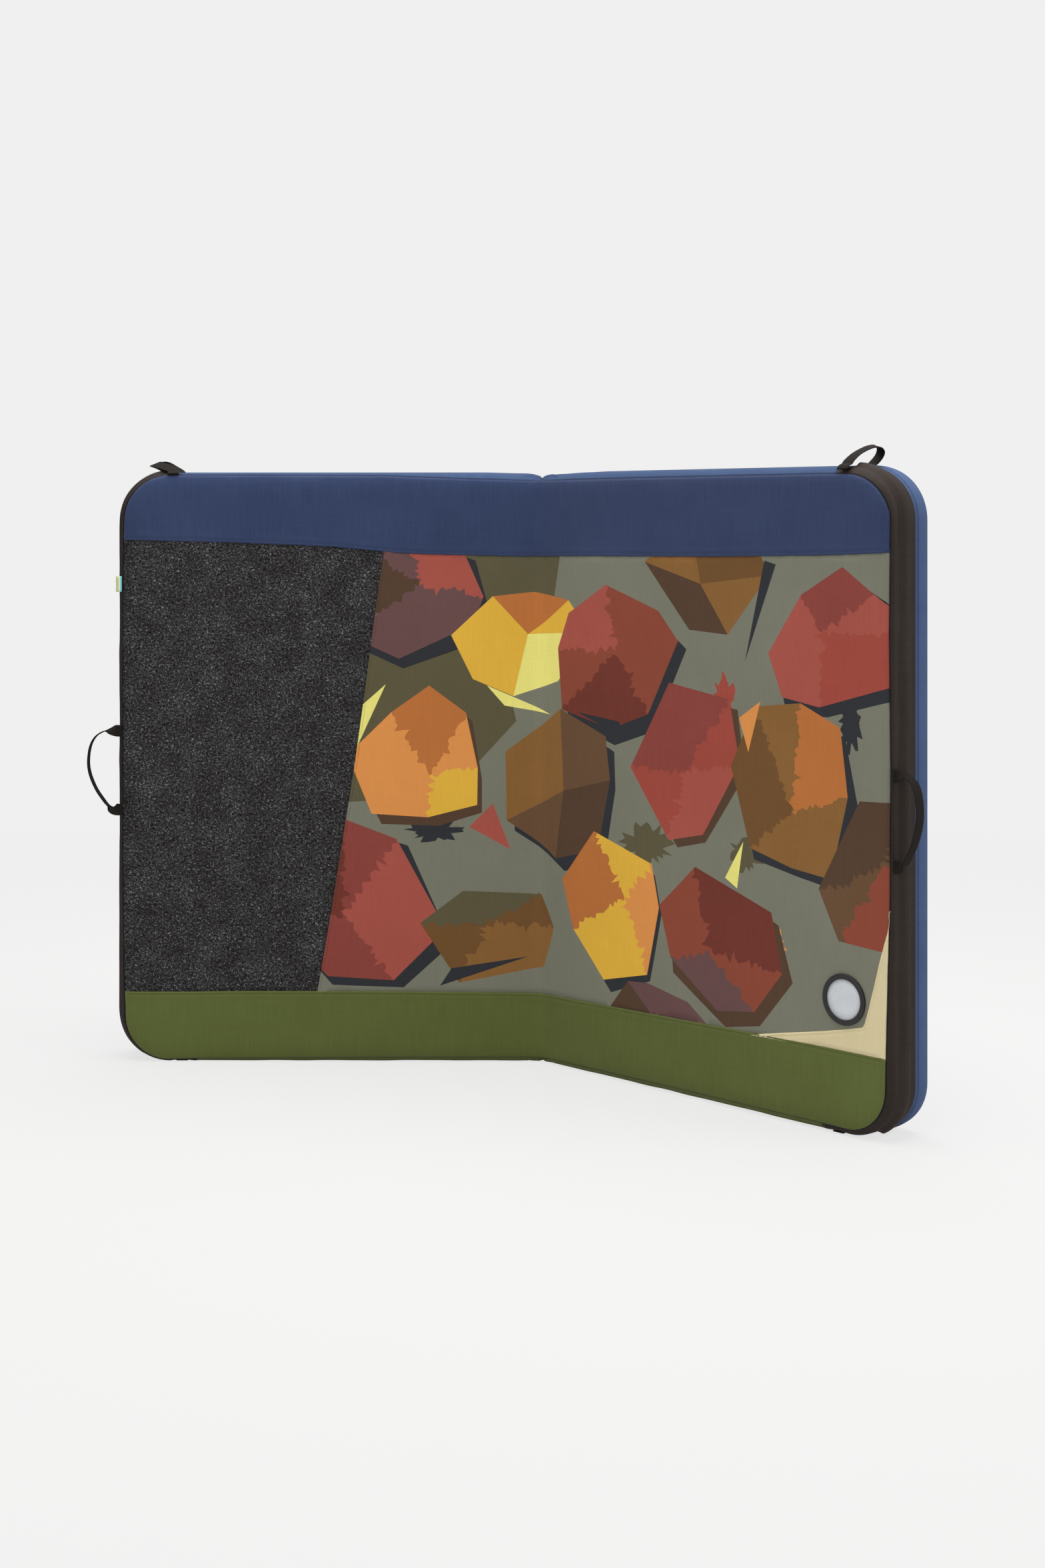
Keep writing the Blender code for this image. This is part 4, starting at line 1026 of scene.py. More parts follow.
def makeLandingCloth():
    length, height, over = pad["length"], pad["height"], landing["overlap"]
    low, high = (-length, 0.09), (length, height - 0.09)
    stops = [(shiftLine(seams["top"], over), 0), (shiftLine(seams["foot"], -over), 0)]
    edge = [(shiftLine(seams["carpet"], over), 0)]
    loops = printLoops()
    # which points belong to a panel, its lines, its box, its depth and the shapes inlaid
    panels = {
        "landingTopBand": (lambda a, z: fromSeam("top", a, z) > 0, [(seams["top"], 1)],
                           (-length, height - 0.16), (length, height), hemmedDepth("top")),
        "landingBottomBand": (lambda a, z: fromSeam("foot", a, z) < 0,
                              [(seams["foot"], -1)], (-length, 0.0), (length, 0.14),
                              hemmedDepth("foot")),
        "landingPrint": (lambda a, z: betweenBands(a, z) & (fromSeam("carpet", a, z) > 0),
                         [(seams["carpet"], 1)] + stops, low, high, hemmedDepth("carpet"),
                         [shortEdges(loop) for loop, _ in loops]),
        "carpetCloth": (lambda a, z: betweenBands(a, z) & (fromSeam("carpet", a, z) < over),
                        edge + stops, low, high, carpetDepth),
        "cornerPatchCloth": (lambda a, z: ((fromSeam("patch", a, z) > 0)
                                           & (fromSeam("foot", a, z) > -over)),
                             [(seams["patch"], 1), stops[1]], (length - 0.28, 0.09),
                             (length, 0.40), hemmedDepth("patch")),
    }
    ends = {
        "landingTopBand": (cloths["blueCloth"], "blue_cloth", "left_top_band",
                           "right_top_band"),
        "landingBottomBand": (cloths["greenCloth"], "green_cloth", "left_bottom_band",
                              "right_bottom_band"),
        "landingPrint": (cloths["printedCanvas"], "printed_canvas", "left_print_panel",
                         "right_print_panel", "fold_bead"),
        "carpetCloth": (carpetFelt, "carpet", "carpet_panel"),
        "cornerPatchCloth": (cloths["creamCloth"], "cream_cloth", "corner_patch"),
    }
    rides = {"carpetCloth": "left_half", "cornerPatchCloth": "right_half"}
    for name, values in panels.items():
        piece, centres = clothPanel(name, *values)
        if name == "landingPrint":
            paintInk(piece, centres, loops)
        finished(thicken(piece), *ends[name], rides=rides.get(name))

    # rows of thread along the seam and the hems
    seam = clothRow(outlineOfLanding[::2], clothDepth, isClosed=True,
                    sink=stitchPlaces["seamSink"])
    sewn("landingSeamStitches", [seam], "navyThread", "blue_cloth",
         pitch=stitchPlaces["seamPitch"])
    for name, line, thread, slot, body in (
            ("topBandStitches", "top", "navyThread", "blue_cloth", None),
            ("bottomBandStitches", "foot", "greenThread", "green_cloth", None),
            ("printHemStitches", "carpet", "darkThread", "printed_canvas", "left_half"),
            ("patchStitches", "patch", "creamThread", "cream_cloth", "right_half")):
        row = shiftLine(seams[line], hems[line][0] * hem["stitchAt"])
        if line == "carpet":
            row = row[fromSeam("top", *row.T) < 0]
        if line in ("carpet", "patch"):
            row = row[fromSeam("foot", *row.T) > 0]
        sewn(name, [clothRow(row, hemmedDepth(line))], thread, slot, rides=body)


tuck = {
    "half": 0.024,  # it reaches this far on each side of the fold
    "columns": 33, "rows": 9,
    "fromSeam": 0.0015, "fromOutline": 0.0004,
    "lip": 0.0012, "lipWidth": 0.003,  # its edge is drawn in at the fold
    "under": 0.0016,  # its ends lie this far under the walls
    "start": 0.0019, "slope": 0.85,
    "crease": 0.0030, "creaseWidth": 0.0022,
    # the top tuck takes the blue cloth painted lighter, as painted light from above
    "top": ("topFoldTuck", "blueTopPaintedLightCloth", "blue_cloth"),
    "foot": ("footFoldTuck", "greenCloth", "green_cloth"),
}


def makeFoldTuck(end):
    # the walls' cloth gathered between both halves at one end of the fold
    atTop, half = end == "top", tuck["half"]
    points, flat = [], []
    for along in np.linspace(-half, half, tuck["columns"]):
        side, x = ("left" if along < 0 else "right"), abs(along)
        eased = float(shoulder(x))
        inset = float(seamInset(side, x, 0.99 if atTop else 0.01))
        low = (eased if atTop else 0.1 * eased) + tuck["fromOutline"]
        fromEdge = np.linspace(inset + tuck["fromSeam"], low, tuck["rows"])
        fromEdge[-1] += tuck["lip"] * mound(along, tuck["lipWidth"])
        fromEdge[-1] += tuck["under"] * float(smoothStep(x, half / 2, half))
        deeps = (float(edgeDepth(inset)) + tuck["start"]
                 + tuck["slope"] * (fromEdge[0] - fromEdge))
        deeps += tuck["crease"] * mound(along, tuck["creaseWidth"])
        zs = pad["height"] - fromEdge if atTop else fromEdge
        points.append(onCloth(along, deeps, zs))
        flat.append(np.stack([np.full(len(zs), along), zs], axis=1))
    name, material, slot = tuck[end]
    piece = gridObject(name, points, flat, flip=atTop)
    finished(thicken(piece, even=False), cloths[material], slot)


makeLandingCloth()
print("landing cloth made")


# Walls and ground side

handles = {
    "endSpan": 0.134, "endFront": 0.006, "endBack": 0.0125,
    # height of its middle and reach of each half's end loop
    "endForms": {"left": (0.495, 0.060), "right": (0.4775, 0.045)},
    "topFromEnd": 0.086, "topFront": 0.012, "topSpan": 0.062,
    # rise and lean of each half's top loop, its twist, and how far it turns on its side
    "topForms": {"left": (0.015, 0.043, 0, 0.31), "right": (0.029, 0.010, 28, 0.6)},
    # the dent where the foot's loop passes under
    "notchHalf": 0.012, "notchEase": 0.006, "notchDepth": 0.0022,
    "footFromEnd": 0.100, "footFront": 0.011, "footSpan": 0.066,
    # out as a share of the reach, up as one of half the span, how far it is turned
    "endShares": ((0.0, 1.0, 0.0), (0.08, 1.0, 0.0), (0.26, 1.01, 0.45),
                  (0.48, 1.0, 1.0), (0.77, 0.86, 1.0), (0.94, 0.60, 1.0),
                  (1.0, 0.22, 1.0), (0.95, -0.10, 1.0), (0.78, -0.46, 1.0),
                  (0.55, -0.76, 1.0), (0.38, -0.93, 1.0), (0.24, -0.99, 0.45),
                  (0.08, -1.0, 0.0), (0.0, -1.0, 0.0)),
    # back as a share of the span, up and aside as shares of the rise and the lean
    "topShares": ((-0.165, -0.24, 0.0), (-0.08, -0.04, 0.0), (0.03, 0.04, 0.0),
                  (0.12, 0.24, 0.10),
                  (0.32, 0.56, 0.40), (0.58, 0.82, 0.75), (0.84, 0.97, 0.95),
                  (1.08, 0.98, 1.0), (1.25, 0.80, 0.80), (1.27, 0.50, 0.45),
                  (1.12, 0.14, 0.10), (0.98, 0.0, 0.0), (0.88, 0.0, 0.0)),
}


def bellyAt(deep):
    share = np.asarray(deep, float) / pad["thickness"]
    return 4 * share * (1 - share)


def bellyOut(belly, deeps):
    return pad["endBelly"] * belly * bellyAt(deeps)


def sideGrid(side, run, rows, lift):
    # points of a wall: for each station a row of (out, deep), with its flat coordinates
    points, flat = [], []
    walked, before = 0.0, run[0][:2]
    for x, z, outX, outZ, belly, inset, _ in run:
        walked += math.dist((x, z), before)
        before = (x, z)
        outs, deeps = rows(inset, max(outZ, 0.0))
        outs = outs + bellyOut(belly, deeps) + lift(walked, deeps)
        if z < 0.002:  # room for the loop under the foot
            ease, middle = handles["notchEase"], pad["length"] - handles["footFromEnd"]
            notch = smoothStep(handles["notchHalf"] + ease - abs(x - middle), 0.0, ease)
            outs = np.minimum(outs, -handles["notchDepth"] * notch)
        points.append(onHalf(side, x + outs * outX, deeps, z + outs * outZ))
        flat.append(np.stack([np.full(len(deeps), walked), deeps - outs], axis=1))
    return np.array(points), np.array(flat)


def gridObject(name, points, flat, flip=False):
    # a sheet of quads over rows of points
    points, flat = np.array(points), np.array(flat)
    rows, columns = points.shape[:2]
    corners = [i * columns + j for i in range(rows - 1) for j in range(columns - 1)]
    faces = [(a, a + 1, a + columns + 1, a + columns)[::-1 if flip else 1] for a in corners]
    piece = newObject(name, points.reshape(-1, 3), faces)
    addUv(piece, flat.reshape(-1, 2))
    return piece


def wallRows(inset, upwards):
    # from the seam with the landing cloth, rolling over the edge, to the ground side
    start = float(edgeDepth(inset)) + pad["seamGap"]
    deep = start + max((1.05 + 0.65 * upwards) * inset, 0.004)
    t = np.linspace(0, 1, 8)
    places = ((-inset, start), (-0.58 * inset, start + 0.24 * (deep - start)),
              (-0.04 * inset, start + 0.55 * (deep - start)), (0.0, deep))
    weights = ((1 - t) ** 3, 3 * t * (1 - t) ** 2, 3 * t ** 2 * (1 - t), t ** 3)
    outs, deeps = (sum(weight * place[k] for weight, place in zip(weights, places))
                   for k in (0, 1))
    straight = np.linspace(deep, pad["backSeam"], 11)[1:]
    return np.append(outs, np.zeros(len(straight))), np.append(deeps, straight)


walls = {
    # the top wall takes the blue cloth painted lighter, as painted light from above
    "top_wall": ("blueTopPaintedLightCloth", "blue_cloth"),
    "end_gusset": ("blackCloth", "black_cloth"),
    "bottom_wall": ("greenCloth", "green_cloth"),
}
slack = {
    # depth and size of the hollows in the walls, the hinge walls and the ground side
    "walls": (0.0012, 0.045), "hinge": (0.0015, 0.05), "ground": (0.0014, 0.12),
    "sewnIn": 0.0008, "sewnWidth": 0.002,  # the walls' edge at the ground side's seam
    "hingeLean": 0.0010, "hingeFront": 0.009,
}


def makeWalls(side):
    depth, size = slack["walls"]
    for wall, (material, slot) in walls.items():
        node = f"{side}_{wall}"
        run = [station for station in stations[side] if station[6] == wall]
        seed = len(wall) + (0 if side == "left" else 40)

        def lift(walked, deeps):
            wave = hollows(walked, deeps, size, seed)
            calm = smoothStep(deeps, 0.004, 0.014) * (1 - smoothStep(deeps, 0.050, 0.057))
            edge = mound(deeps - pad["backSeam"], slack["sewnWidth"])
            return -depth * wave * calm - slack["sewnIn"] * edge

        piece = gridObject(camel(node), *sideGrid(side, run, wallRows, lift),
                           flip=side == "left")
        finished(thicken(piece), cloths[material], slot, node, rides=side + "_half")


def makeHingeWall(side):
    gap, node, count = pad["foldGap"], side + "_hinge_wall", 120
    depth, size = slack["hinge"]
    low = float(shoulder(gap))
    deeps = np.linspace(slack["hingeFront"], pad["backSeam"], 12)
    points, flat = [], []
    for k in range(count + 1):
        z = low + (pad["height"] - 2 * low) * k / count
        wave = hollows(np.full(len(deeps), z), deeps, size, 77)
        x = (gap + depth * wave * smoothStep(deeps, 0.010, 0.03)
             + slack["hingeLean"] * smoothStep(deeps, 0.035, pad["backSeam"]))
        points.append(onHalf(side, x, deeps, z))
        flat.append(np.stack([np.full(len(deeps), z), deeps], axis=1))
    piece = gridObject(camel(node), points, flat, flip=side == "right")
    finished(thicken(piece), cloths["blueCloth"], "blue_cloth", node, rides=side + "_half")


def backStations(side):
    # the whole way round a half, the fold's own edge included
    low = float(shoulder(pad["foldGap"]))
    ring = [station[:5] for station in stations[side]]
    count = round((pad["height"] - 2 * low) / pad["step"])
    for k in range(1, count):
        z = pad["height"] - low - (pad["height"] - 2 * low) * k / count
        ring.append((pad["foldGap"], z, -1.0, 0.0, pad["foldDrawn"]))
    merged = ring[:1]
    for station in ring:
        if math.dist(station[:2], merged[-1][:2]) > pad["step"] / 5:
            merged.append(station)
    return merged


def backOut(belly, deeps):
    # how far the ground side's cover stands out from the outline, before its rounding;
    # the fold's own edge, with a belly under 0, is drawn in so that the halves lie flat
    share = (deeps - pad["backSeam"]) / (pad["thickness"] - pad["backSeam"])
    full = max(belly, pad["backFull"]) if belly >= 0 else 0.0
    bulge = pad["backBulge"] * full * np.sin(math.pi * np.clip(share, 0, 1))
    groove = pad["backGroove"] * mound(deeps - pad["backSeam"], 0.0015)
    return bellyOut(belly, deeps) + bulge - groove


def makeBackCover(side):
    # a ring of rows from the seam round the edge, and a panel that closes it
    node, radius, thickness = side + "_back_cover", pad["backRadius"], pad["thickness"]
    step, turns = 0.012, np.radians((0, 15, 30, 45, 60, 75, 90))
    deeps = np.concatenate([
        np.linspace(pad["backSeam"], thickness - radius, 8)[:-1],
        thickness - radius + (radius - pad["backIn"]) * np.sin(turns)])
    outs = np.concatenate([np.zeros(7), radius * (np.cos(turns) - 1)])
    points, flat = [], []
    for x, z, outX, outZ, belly in backStations(side):
        out = outs + backOut(belly, deeps)
        along = np.maximum(x + out * outX, pad["foldClear"])
        points.append(onHalf(side, along, deeps, z + out * outZ))
        flat.append(np.stack([along, z + out * outZ], axis=1))
    points, flat = np.array(points), np.array(flat)
    rows, columns = points.shape[:2]
    faces = []
    for i in range(rows):
        for j in range(columns - 1):
            a, b = i * columns + j, (i + 1) % rows * columns + j
            faces.append((a, a + 1, b + 1, b))
    rim = flat[:, -1]
    grid = evenGrid(rim.min(axis=0), rim.max(axis=0), step)
    gap = toLine(grid, closed(rim))
    inner = grid[gap > step * 0.6] if np.median(gap) > 0 else grid[gap < -step * 0.6]
    loose = [Vector(point) for point in (*rim, *inner)]
    edges = [(k, (k + 1) % len(rim)) for k in range(len(rim))]
    found, _, panel, *_ = delaunay_2d_cdt(loose, edges, [], 1, 1e-6)
    panelFlat = np.array([(v.x, v.y) for v in found])
    distance = np.abs(toLine(panelFlat, closed(rim)))
    depth, size = slack["ground"]
    wave = hollows(*panelFlat.T, size, 91)
    deep = thickness - pad["backIn"] - depth * wave * smoothStep(distance, 0.0, 0.03)
    panelPoints = onHalf(side, panelFlat[:, 0], deep, panelFlat[:, 1])
    start = rows * columns
    faces += [tuple(start + corner for corner in face) for face in panel]
    piece = newObject(camel(node), [*points.reshape(-1, 3), *panelPoints], faces)
    addUv(piece, [*flat.reshape(-1, 2), *panelFlat])
    # the cover takes the blue cloth painted lighter, as painted light on its sides
    finished(facedOut(piece, weld=0.0002), cloths["blueSidePaintedLightCloth"], "blue_cloth", node,
             rides=side + "_half")


foams = {
    # its depths and the ease of its edges
    "firm": (0.012, 0.0266), "soft": (0.0272, 0.096), "ease": 0.006,
}


def makeFoam(side, kind):
    # a slab that fills the cover loosely, rounded at its edges
    node, ease, (low, high) = f"{side}_{kind}_foam", foams["ease"], foams[kind]
    ring = backStations(side)
    points = [onHalf(side, x - inset * outX, deep, z - inset * outZ)
              for deep, inset in ((low, 2 * ease), (low + ease / 2, ease),
                                  (high - ease / 2, ease), (high, 2 * ease))
              for x, z, outX, outZ, _ in ring]
    piece = newObject(camel(node), points, ringFaces(4, len(ring)), smooth=False)
    finished(piece, solids[kind + "Foam"], kind + "_foam", node, rides=side + "_half")


makeFoldTuck("top")
makeFoldTuck("foot")
for side in sideSign:
    makeWalls(side)
    makeHingeWall(side)
    makeBackCover(side)
    makeFoam(side, "firm")
    makeFoam(side, "soft")
print("walls and ground side made")


# Webbing

def smoothRoute(points, steps):
    # a Catmull-Rom line through rows of numbers
    points = np.asarray(points, float)
    padded = np.concatenate([points[:1], points, points[-1:]])
    line = []
    for k in range(len(points) - 1):
        before, one, two, after = padded[k:k + 4]
        for t in np.arange(steps) / steps:
            line.append(0.5 * (2 * one + (two - before) * t
                               + (2 * before - 5 * one + 4 * two - after) * t ** 2
                               + (3 * one - before - 3 * two + after) * t ** 3))
    line.append(points[-1])
    return np.array(line)


tape = {
    # half of a tape's section, as shares of half the width and half the thickness
    "section": ((-1.0, 0.0), (-0.985, 0.62), (-0.93, 1.0), (-0.55, 0.94), (0.0, 1.0),
                (0.55, 0.94), (0.93, 1.0), (0.985, 0.62), (1.0, 0.0)),
    "width": 0.020,
    "thickness": 0.0016,
    "step": 0.0025,
}


def tapeFrames(route):
    # the middle line of a tape with the ways across it and off its face
    line = resample(smoothRoute(route, 12), tape["step"])
    middle, across = line[:, :3], line[:, 3:]
    ahead = unit(np.gradient(middle, axis=0))
    across = unit(across - ahead * np.sum(across * ahead, axis=1)[:, None])
    return middle, across, np.cross(ahead, across)


def makeTape(node, route, rides="left_half", width=None, thickness=None):
    # a woven tape along a route of rows: place and way across
    width, thickness = width or tape["width"], thickness or tape["thickness"]
    middle, across, off = tapeFrames(route)
    top = np.array(tape["section"])
    section = np.concatenate([top, top[-2:0:-1] * (1, -1)])
    steps = np.linalg.norm(np.diff(middle, axis=0), axis=1)
    vertices, flat = [], []
    for k, walked in enumerate(np.concatenate([[0], np.cumsum(steps)])):
        for share, up in section:
            vertices.append(middle[k] + across[k] * share * width / 2
                            + off[k] * up * thickness / 2)
            flat.append((walked, share * width / 2))
    piece = newObject(camel(node), vertices, ringFaces(len(middle), len(section)))
    addUv(piece, flat)
    finished(piece, webbing, "webbing", node, rides=rides)


def wayOnHalf(side, x, deep, z):
    return onHalf(side, x, deep, z) - onHalf(side, 0, 0, 0)


def routeRow(side, place, way):
    return np.concatenate([onHalf(side, *place), wayOnHalf(side, *way)])


def makeHandles(side):
    half, thickness = handles["endSpan"] / 2, tape["thickness"]
    height, reach = handles["endForms"][side]
    seamDeep = handles["endFront"] + pad["seamGap"] / 2
    foot = float(bellyOut(1, 0.0096)) + pad["gap"]
    route = []
    for out, up, turned in handles["endShares"]:
        turn = turned * math.pi / 2
        route.append(routeRow(side, (pad["length"] + foot + (reach - foot) * out,
                                     seamDeep + (handles["endBack"] - seamDeep) * turned,
                                     height + half * up),
                              (0, math.sin(turn), math.cos(turn))))
    makeTape(side + "_end_handle", route, side + "_half")
    rise, lean, twist, aslant = handles["topForms"][side]
    baseZ = pad["height"] + pad["topBelly"] + pad["gap"] + thickness / 2
    route = []
    for back, up, aside in handles["topShares"]:
        tilt = math.atan2(lean, rise) * aside * aslant
        yaw = math.radians(twist) * aside
        route.append(routeRow(
            side, (pad["length"] - handles["topFromEnd"] + lean * aside,
                   handles["topFront"] + handles["topSpan"] * back, baseZ + rise * up),
            (math.cos(tilt) * math.cos(yaw), -math.sin(yaw),
             -math.sin(tilt) * math.cos(yaw))))
    makeTape(side + "_top_handle", route, side + "_half")
    x = pad["length"] - handles["footFromEnd"]
    route = [routeRow(side, (x, handles["footFront"] + handles["footSpan"] * share,
                             thickness / 2), (1, 0, 0)) for share in np.linspace(0, 1, 5)]
    makeTape(side + "_bottom_handle", route, side + "_half")


for side in sideSign:
    makeHandles(side)
print("handles made")


# Zips

zipper = {
    "fromLanding": 0.033,
    "flapWidth": 0.030,
    "flapRise": 0.0046,
    "flapCloth": 0.0008,
    "chainThickness": 0.0012,
    "chainHalf": 0.0030,  # half of its width
    "chainProud": 0.0007,
    "tapeCloth": 0.0004,
    "toothPitch": 0.0026,
    "stitchIn": 0.0035,  # from the flap's edges
    "pullWidth": 0.006, "pullThickness": 0.0010, "pullIn": 0.0004,
    # the flap's arch: along its width, up as a share of the rise
    "arch": ((0.0, -0.40), (0.05, -0.18), (0.10, 0.02), (0.16, 0.22), (0.23, 0.50),
             (0.30, 0.78), (0.36, 0.91), (0.43, 0.98), (0.50, 1.0), (0.57, 0.98),
             (0.64, 0.91), (0.70, 0.78), (0.77, 0.50), (0.84, 0.22), (0.90, 0.02),
             (0.95, -0.18), (1.0, -0.40)),
}


def zipRun(side):
    # the stations that bend round the free end
    run = [station for station in stations[side] if station[6] == "end_gusset"]
    topShare = pad["topBelly"] / pad["endBelly"]
    return [station for station in run if station[4] > topShare]


def makeFlap(side):
    node, arch = side + "_zip_flap", np.array(zipper["arch"])
    front = zipper["fromLanding"] - zipper["flapWidth"] / 2
    deeps = front + zipper["flapWidth"] * arch[:, 0]

    def lift(walked, deeps):
        sag = 0.0006 * softNoise(np.full(len(deeps), walked), deeps, 0.03, 55)
        return pad["gap"] + (zipper["flapRise"] + sag) * arch[:, 1]

    grid = sideGrid(side, zipRun(side), lambda *_: (np.zeros(len(deeps)), deeps), lift)
    piece = gridObject(camel(node), *grid, flip=side == "left")
    finished(thicken(piece, zipper["flapCloth"]), cloths["blackCloth"], "black_cloth", node,
             rides=side + "_half")


for side in sideSign:
    makeFlap(side)
print("zip flaps made")


def makeZip(side):
    # the zip's cloth tape and two rows of teeth along the free end, under the flap
    node, body = side + "_zip_chain", side + "_half"
    half, middle, proud = zipper["chainHalf"], zipper["fromLanding"], zipper["chainProud"]
    deeps = middle + half * np.array((-1.0, -0.3, 0.3, 1.0))
    points, flat = sideGrid(side, zipRun(side), lambda *_: (np.zeros(4), deeps),
                            lambda *_: proud)
    flat[..., 1] = deeps
    piece = gridObject(side + "ZipTape", points, flat, flip=side == "left")
    tapeCloth = zipper["tapeCloth"]
    finished(thicken(piece, tapeCloth), cloths["blackCloth"], "zip_teeth", node, rides=body)
    line, ways = [], []
    for x, z, outX, outZ, belly, _, _ in zipRun(side):
        out = float(bellyOut(belly, middle)) + proud
        line.append(onHalf(side, x + out * outX, middle, z + out * outZ))
        ways.append(wayOnHalf(side, outX, 0, outZ))
    teeth = laidRows(side + "ZipTeeth", [(line, ways, False)], teethTree, {
        "Pitch": zipper["toothPitch"], "Width": half,
        "Height": zipper["chainThickness"] - tapeCloth, "Plastic": solids["zipPlastic"]})
    finished(teeth, solids["zipPlastic"], "zip_teeth", node, rides=body)


def makeTeethTree():
    # pairs of teeth, one from each side, that interlock along the curve
    tree, given, points = startRowTree("zipTeeth", ("Pitch", "Width", "Height"),
                                       "Plastic", 0.5)
    width, height = given["Width"], given["Height"]
    size = addNode(tree, "ShaderNodeCombineXYZ", {
        0: times(tree, given["Pitch"], 0.42), 1: times(tree, width, 1.15), 2: height})
    tooth = addNode(tree, "GeometryNodeMeshCube", {"Size": size.outputs[0]})
    index = addNode(tree, "GeometryNodeInputIndex")
    parity = mathNode(tree, "MODULO", index.outputs[0], 2.0)
    sign = mathNode(tree, "SUBTRACT", times(tree, parity, 2.0), 1.0)
    shift = addNode(tree, "ShaderNodeCombineXYZ", {
        1: times(tree, sign, times(tree, width, 0.42)), 2: times(tree, height, 0.5)})
    placed = addNode(tree, "GeometryNodeInstanceOnPoints",
                     {**points, "Instance": tooth.outputs[0]})
    moved = addNode(tree, "GeometryNodeTranslateInstances",
                    {"Instances": placed.outputs[0], "Translation": shift.outputs[0],
                     "Local Space": True})
    real = addNode(tree, "GeometryNodeRealizeInstances", {0: moved.outputs[0]})
    return endRowTree(tree, real, given["Plastic"])


def makePull(side):
    # the short cloth tape on the slider
    node = side + "_zip_pull"
    low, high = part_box(node)
    middle = (Vector(low) + Vector(high)) / 2
    way = wayOnHalf(side, 0, 1, 0)
    short = zipper["pullIn"]
    route = [np.concatenate([(middle.x, middle.y, z), way])
             for z in np.linspace(low[2] + short, high[2] - short, 4)]
    makeTape(node, route, side + "_slider", width=zipper["pullWidth"],
             thickness=zipper["pullThickness"])


teethTree = makeTeethTree()
for side in sideSign:
    makeZip(side)
    makePull(side)
print("zips made")


# Rows of thread on the walls

def wallRow(side, run, deep, outAt, lift=0.0004, isClosed=False):
    # thread at one depth along stations, with the outline's own belly added by outAt
    places, ways = [], []
    for x, z, outX, outZ, belly in run:
        out = float(outAt(belly, np.array([deep]))[0]) + lift
        along = max(x + out * outX, pad["foldClear"] + lift)
        places.append(onHalf(side, along, deep, z + out * outZ))
        ways.append(wayOnHalf(side, outX, 0, outZ))
    return np.array(places), unit(np.array(ways)), isClosed


def makeWallStitches(side):
    body = side + "_half"
    row = wallRow(side, backStations(side), pad["backSeam"] + stitchPlaces["backSeam"],
                  backOut, isClosed=True)
    sewn(side + "BackSeamStitches", [row], "navyThread", "blue_cloth", rides=body)
    run = [station[:5] for station in zipRun(side)]
    reach = zipper["flapWidth"] / 2 - zipper["stitchIn"]
    rows = [wallRow(side, run, zipper["fromLanding"] + way * reach, bellyOut, lift=0.0006)
            for way in (-1, 1)]
    sewn(side + "FlapStitches", rows, "darkThread", "black_cloth", rides=body)


for side in sideSign:
    makeWallStitches(side)
print("wall stitches made")


# Carrying harness on the ground side of the left half

harness = {
    "gap": 0.230,  # between the middles of the shoulder pads, at the top
    "spread": 0.060,
    "top": 0.800,
    "foot": 0.190,
    "length": 0.400,
    "width": 0.062,
    "endWidth": 0.036,
    "thickness": 0.013,
    "taper": 0.100,
    "fullAtTop": 0.45,
    "fullAtFoot": 0.25,
    "arch": 0.046,
    # down as a share of the length, off the cover and aside as shares of their sizes
    "archShares": ((0.0, 0.0, 0.0), (0.08, 0.10, 0.0), (0.24, 0.72, 0.10),
                   (0.45, 1.0, 0.28), (0.66, 0.86, 0.52), (0.84, 0.44, 0.78),
                   (0.94, 0.20, 0.92), (1.0, 0.14, 1.0)),
    "step": 0.0055,
    "webWidth": 0.0247,
    "lockLength": 0.027,
    "lockBar": 0.0045,
    "lockThickness": 0.0042,
    "tail": 0.085,
    "swellCap": 0.006,  # the simulated cloth moves no further than this
    # half of the binding's width and height, how far in it lies, and its girth
    "binding": (0.0020, 0.0026, 0.0008, 0.012),
    # width and height of the boxes of stitches
    "footBox": (0.017, 0.016), "topBox": (0.030, 0.018), "haulBox": (0.0065, 0.014),
    "footBoxUp": 0.011, "topBoxDown": 0.014, "boxLift": 0.0001,
    "footSewn": 0.025,  # the web lies on the cover over this length
    "haulShares": ((-1.0, 0.0), (-0.88, 0.0), (-0.80, 0.02), (-0.66, 0.26),
                   (-0.42, 0.80), (0.0, 1.0), (0.42, 0.80), (0.66, 0.26),
                   (0.80, 0.02), (0.88, 0.0), (1.0, 0.0)),
    "haulSpan": 0.120,
    "haulRise": 0.030,
    "haulHeight": 0.830,
}
ground = pad["thickness"] + pad["gap"]


def strapFrames(outward):
    # middles of a shoulder pad, as x, deep and z, with its width and fullness
    length, taper = harness["length"], harness["taper"]
    rows = []
    for down, off, aside in harness["archShares"]:
        spread = outward * (harness["gap"] + harness["spread"] * aside) / 2
        rows.append((pad["length"] / 2 + spread,
                     ground + harness["thickness"] / 2 + harness["arch"] * off,
                     harness["top"] - length * down))
    line = resample(smoothRoute(rows, 8), harness["step"])
    down = np.linspace(0, 1, len(line))
    full = np.minimum(1, np.minimum(harness["fullAtTop"] + down * length / taper,
                                    harness["fullAtFoot"] + (1 - down) * length / taper))
    width = harness["endWidth"] + (harness["width"] - harness["endWidth"]) * full
    thick = harness["thickness"] * (1 + full) / 2
    ahead = unit(np.gradient(line, axis=0))
    across = np.tile((1.0, 0.0, 0.0), (len(line), 1))
    across = unit(across - ahead * np.sum(across * ahead, axis=1)[:, None])
    return line, across, np.cross(ahead, across), width, thick


puff = {
    "steps": 20,
    "cloth": {"quality": 6, "mass": 0.15, "tension_stiffness": 12,
              "compression_stiffness": 12, "bending_stiffness": 0.4,
              "use_pressure": True, "uniform_pressure_force": 4.0,
              "vertex_group_mass": "seam"},
}


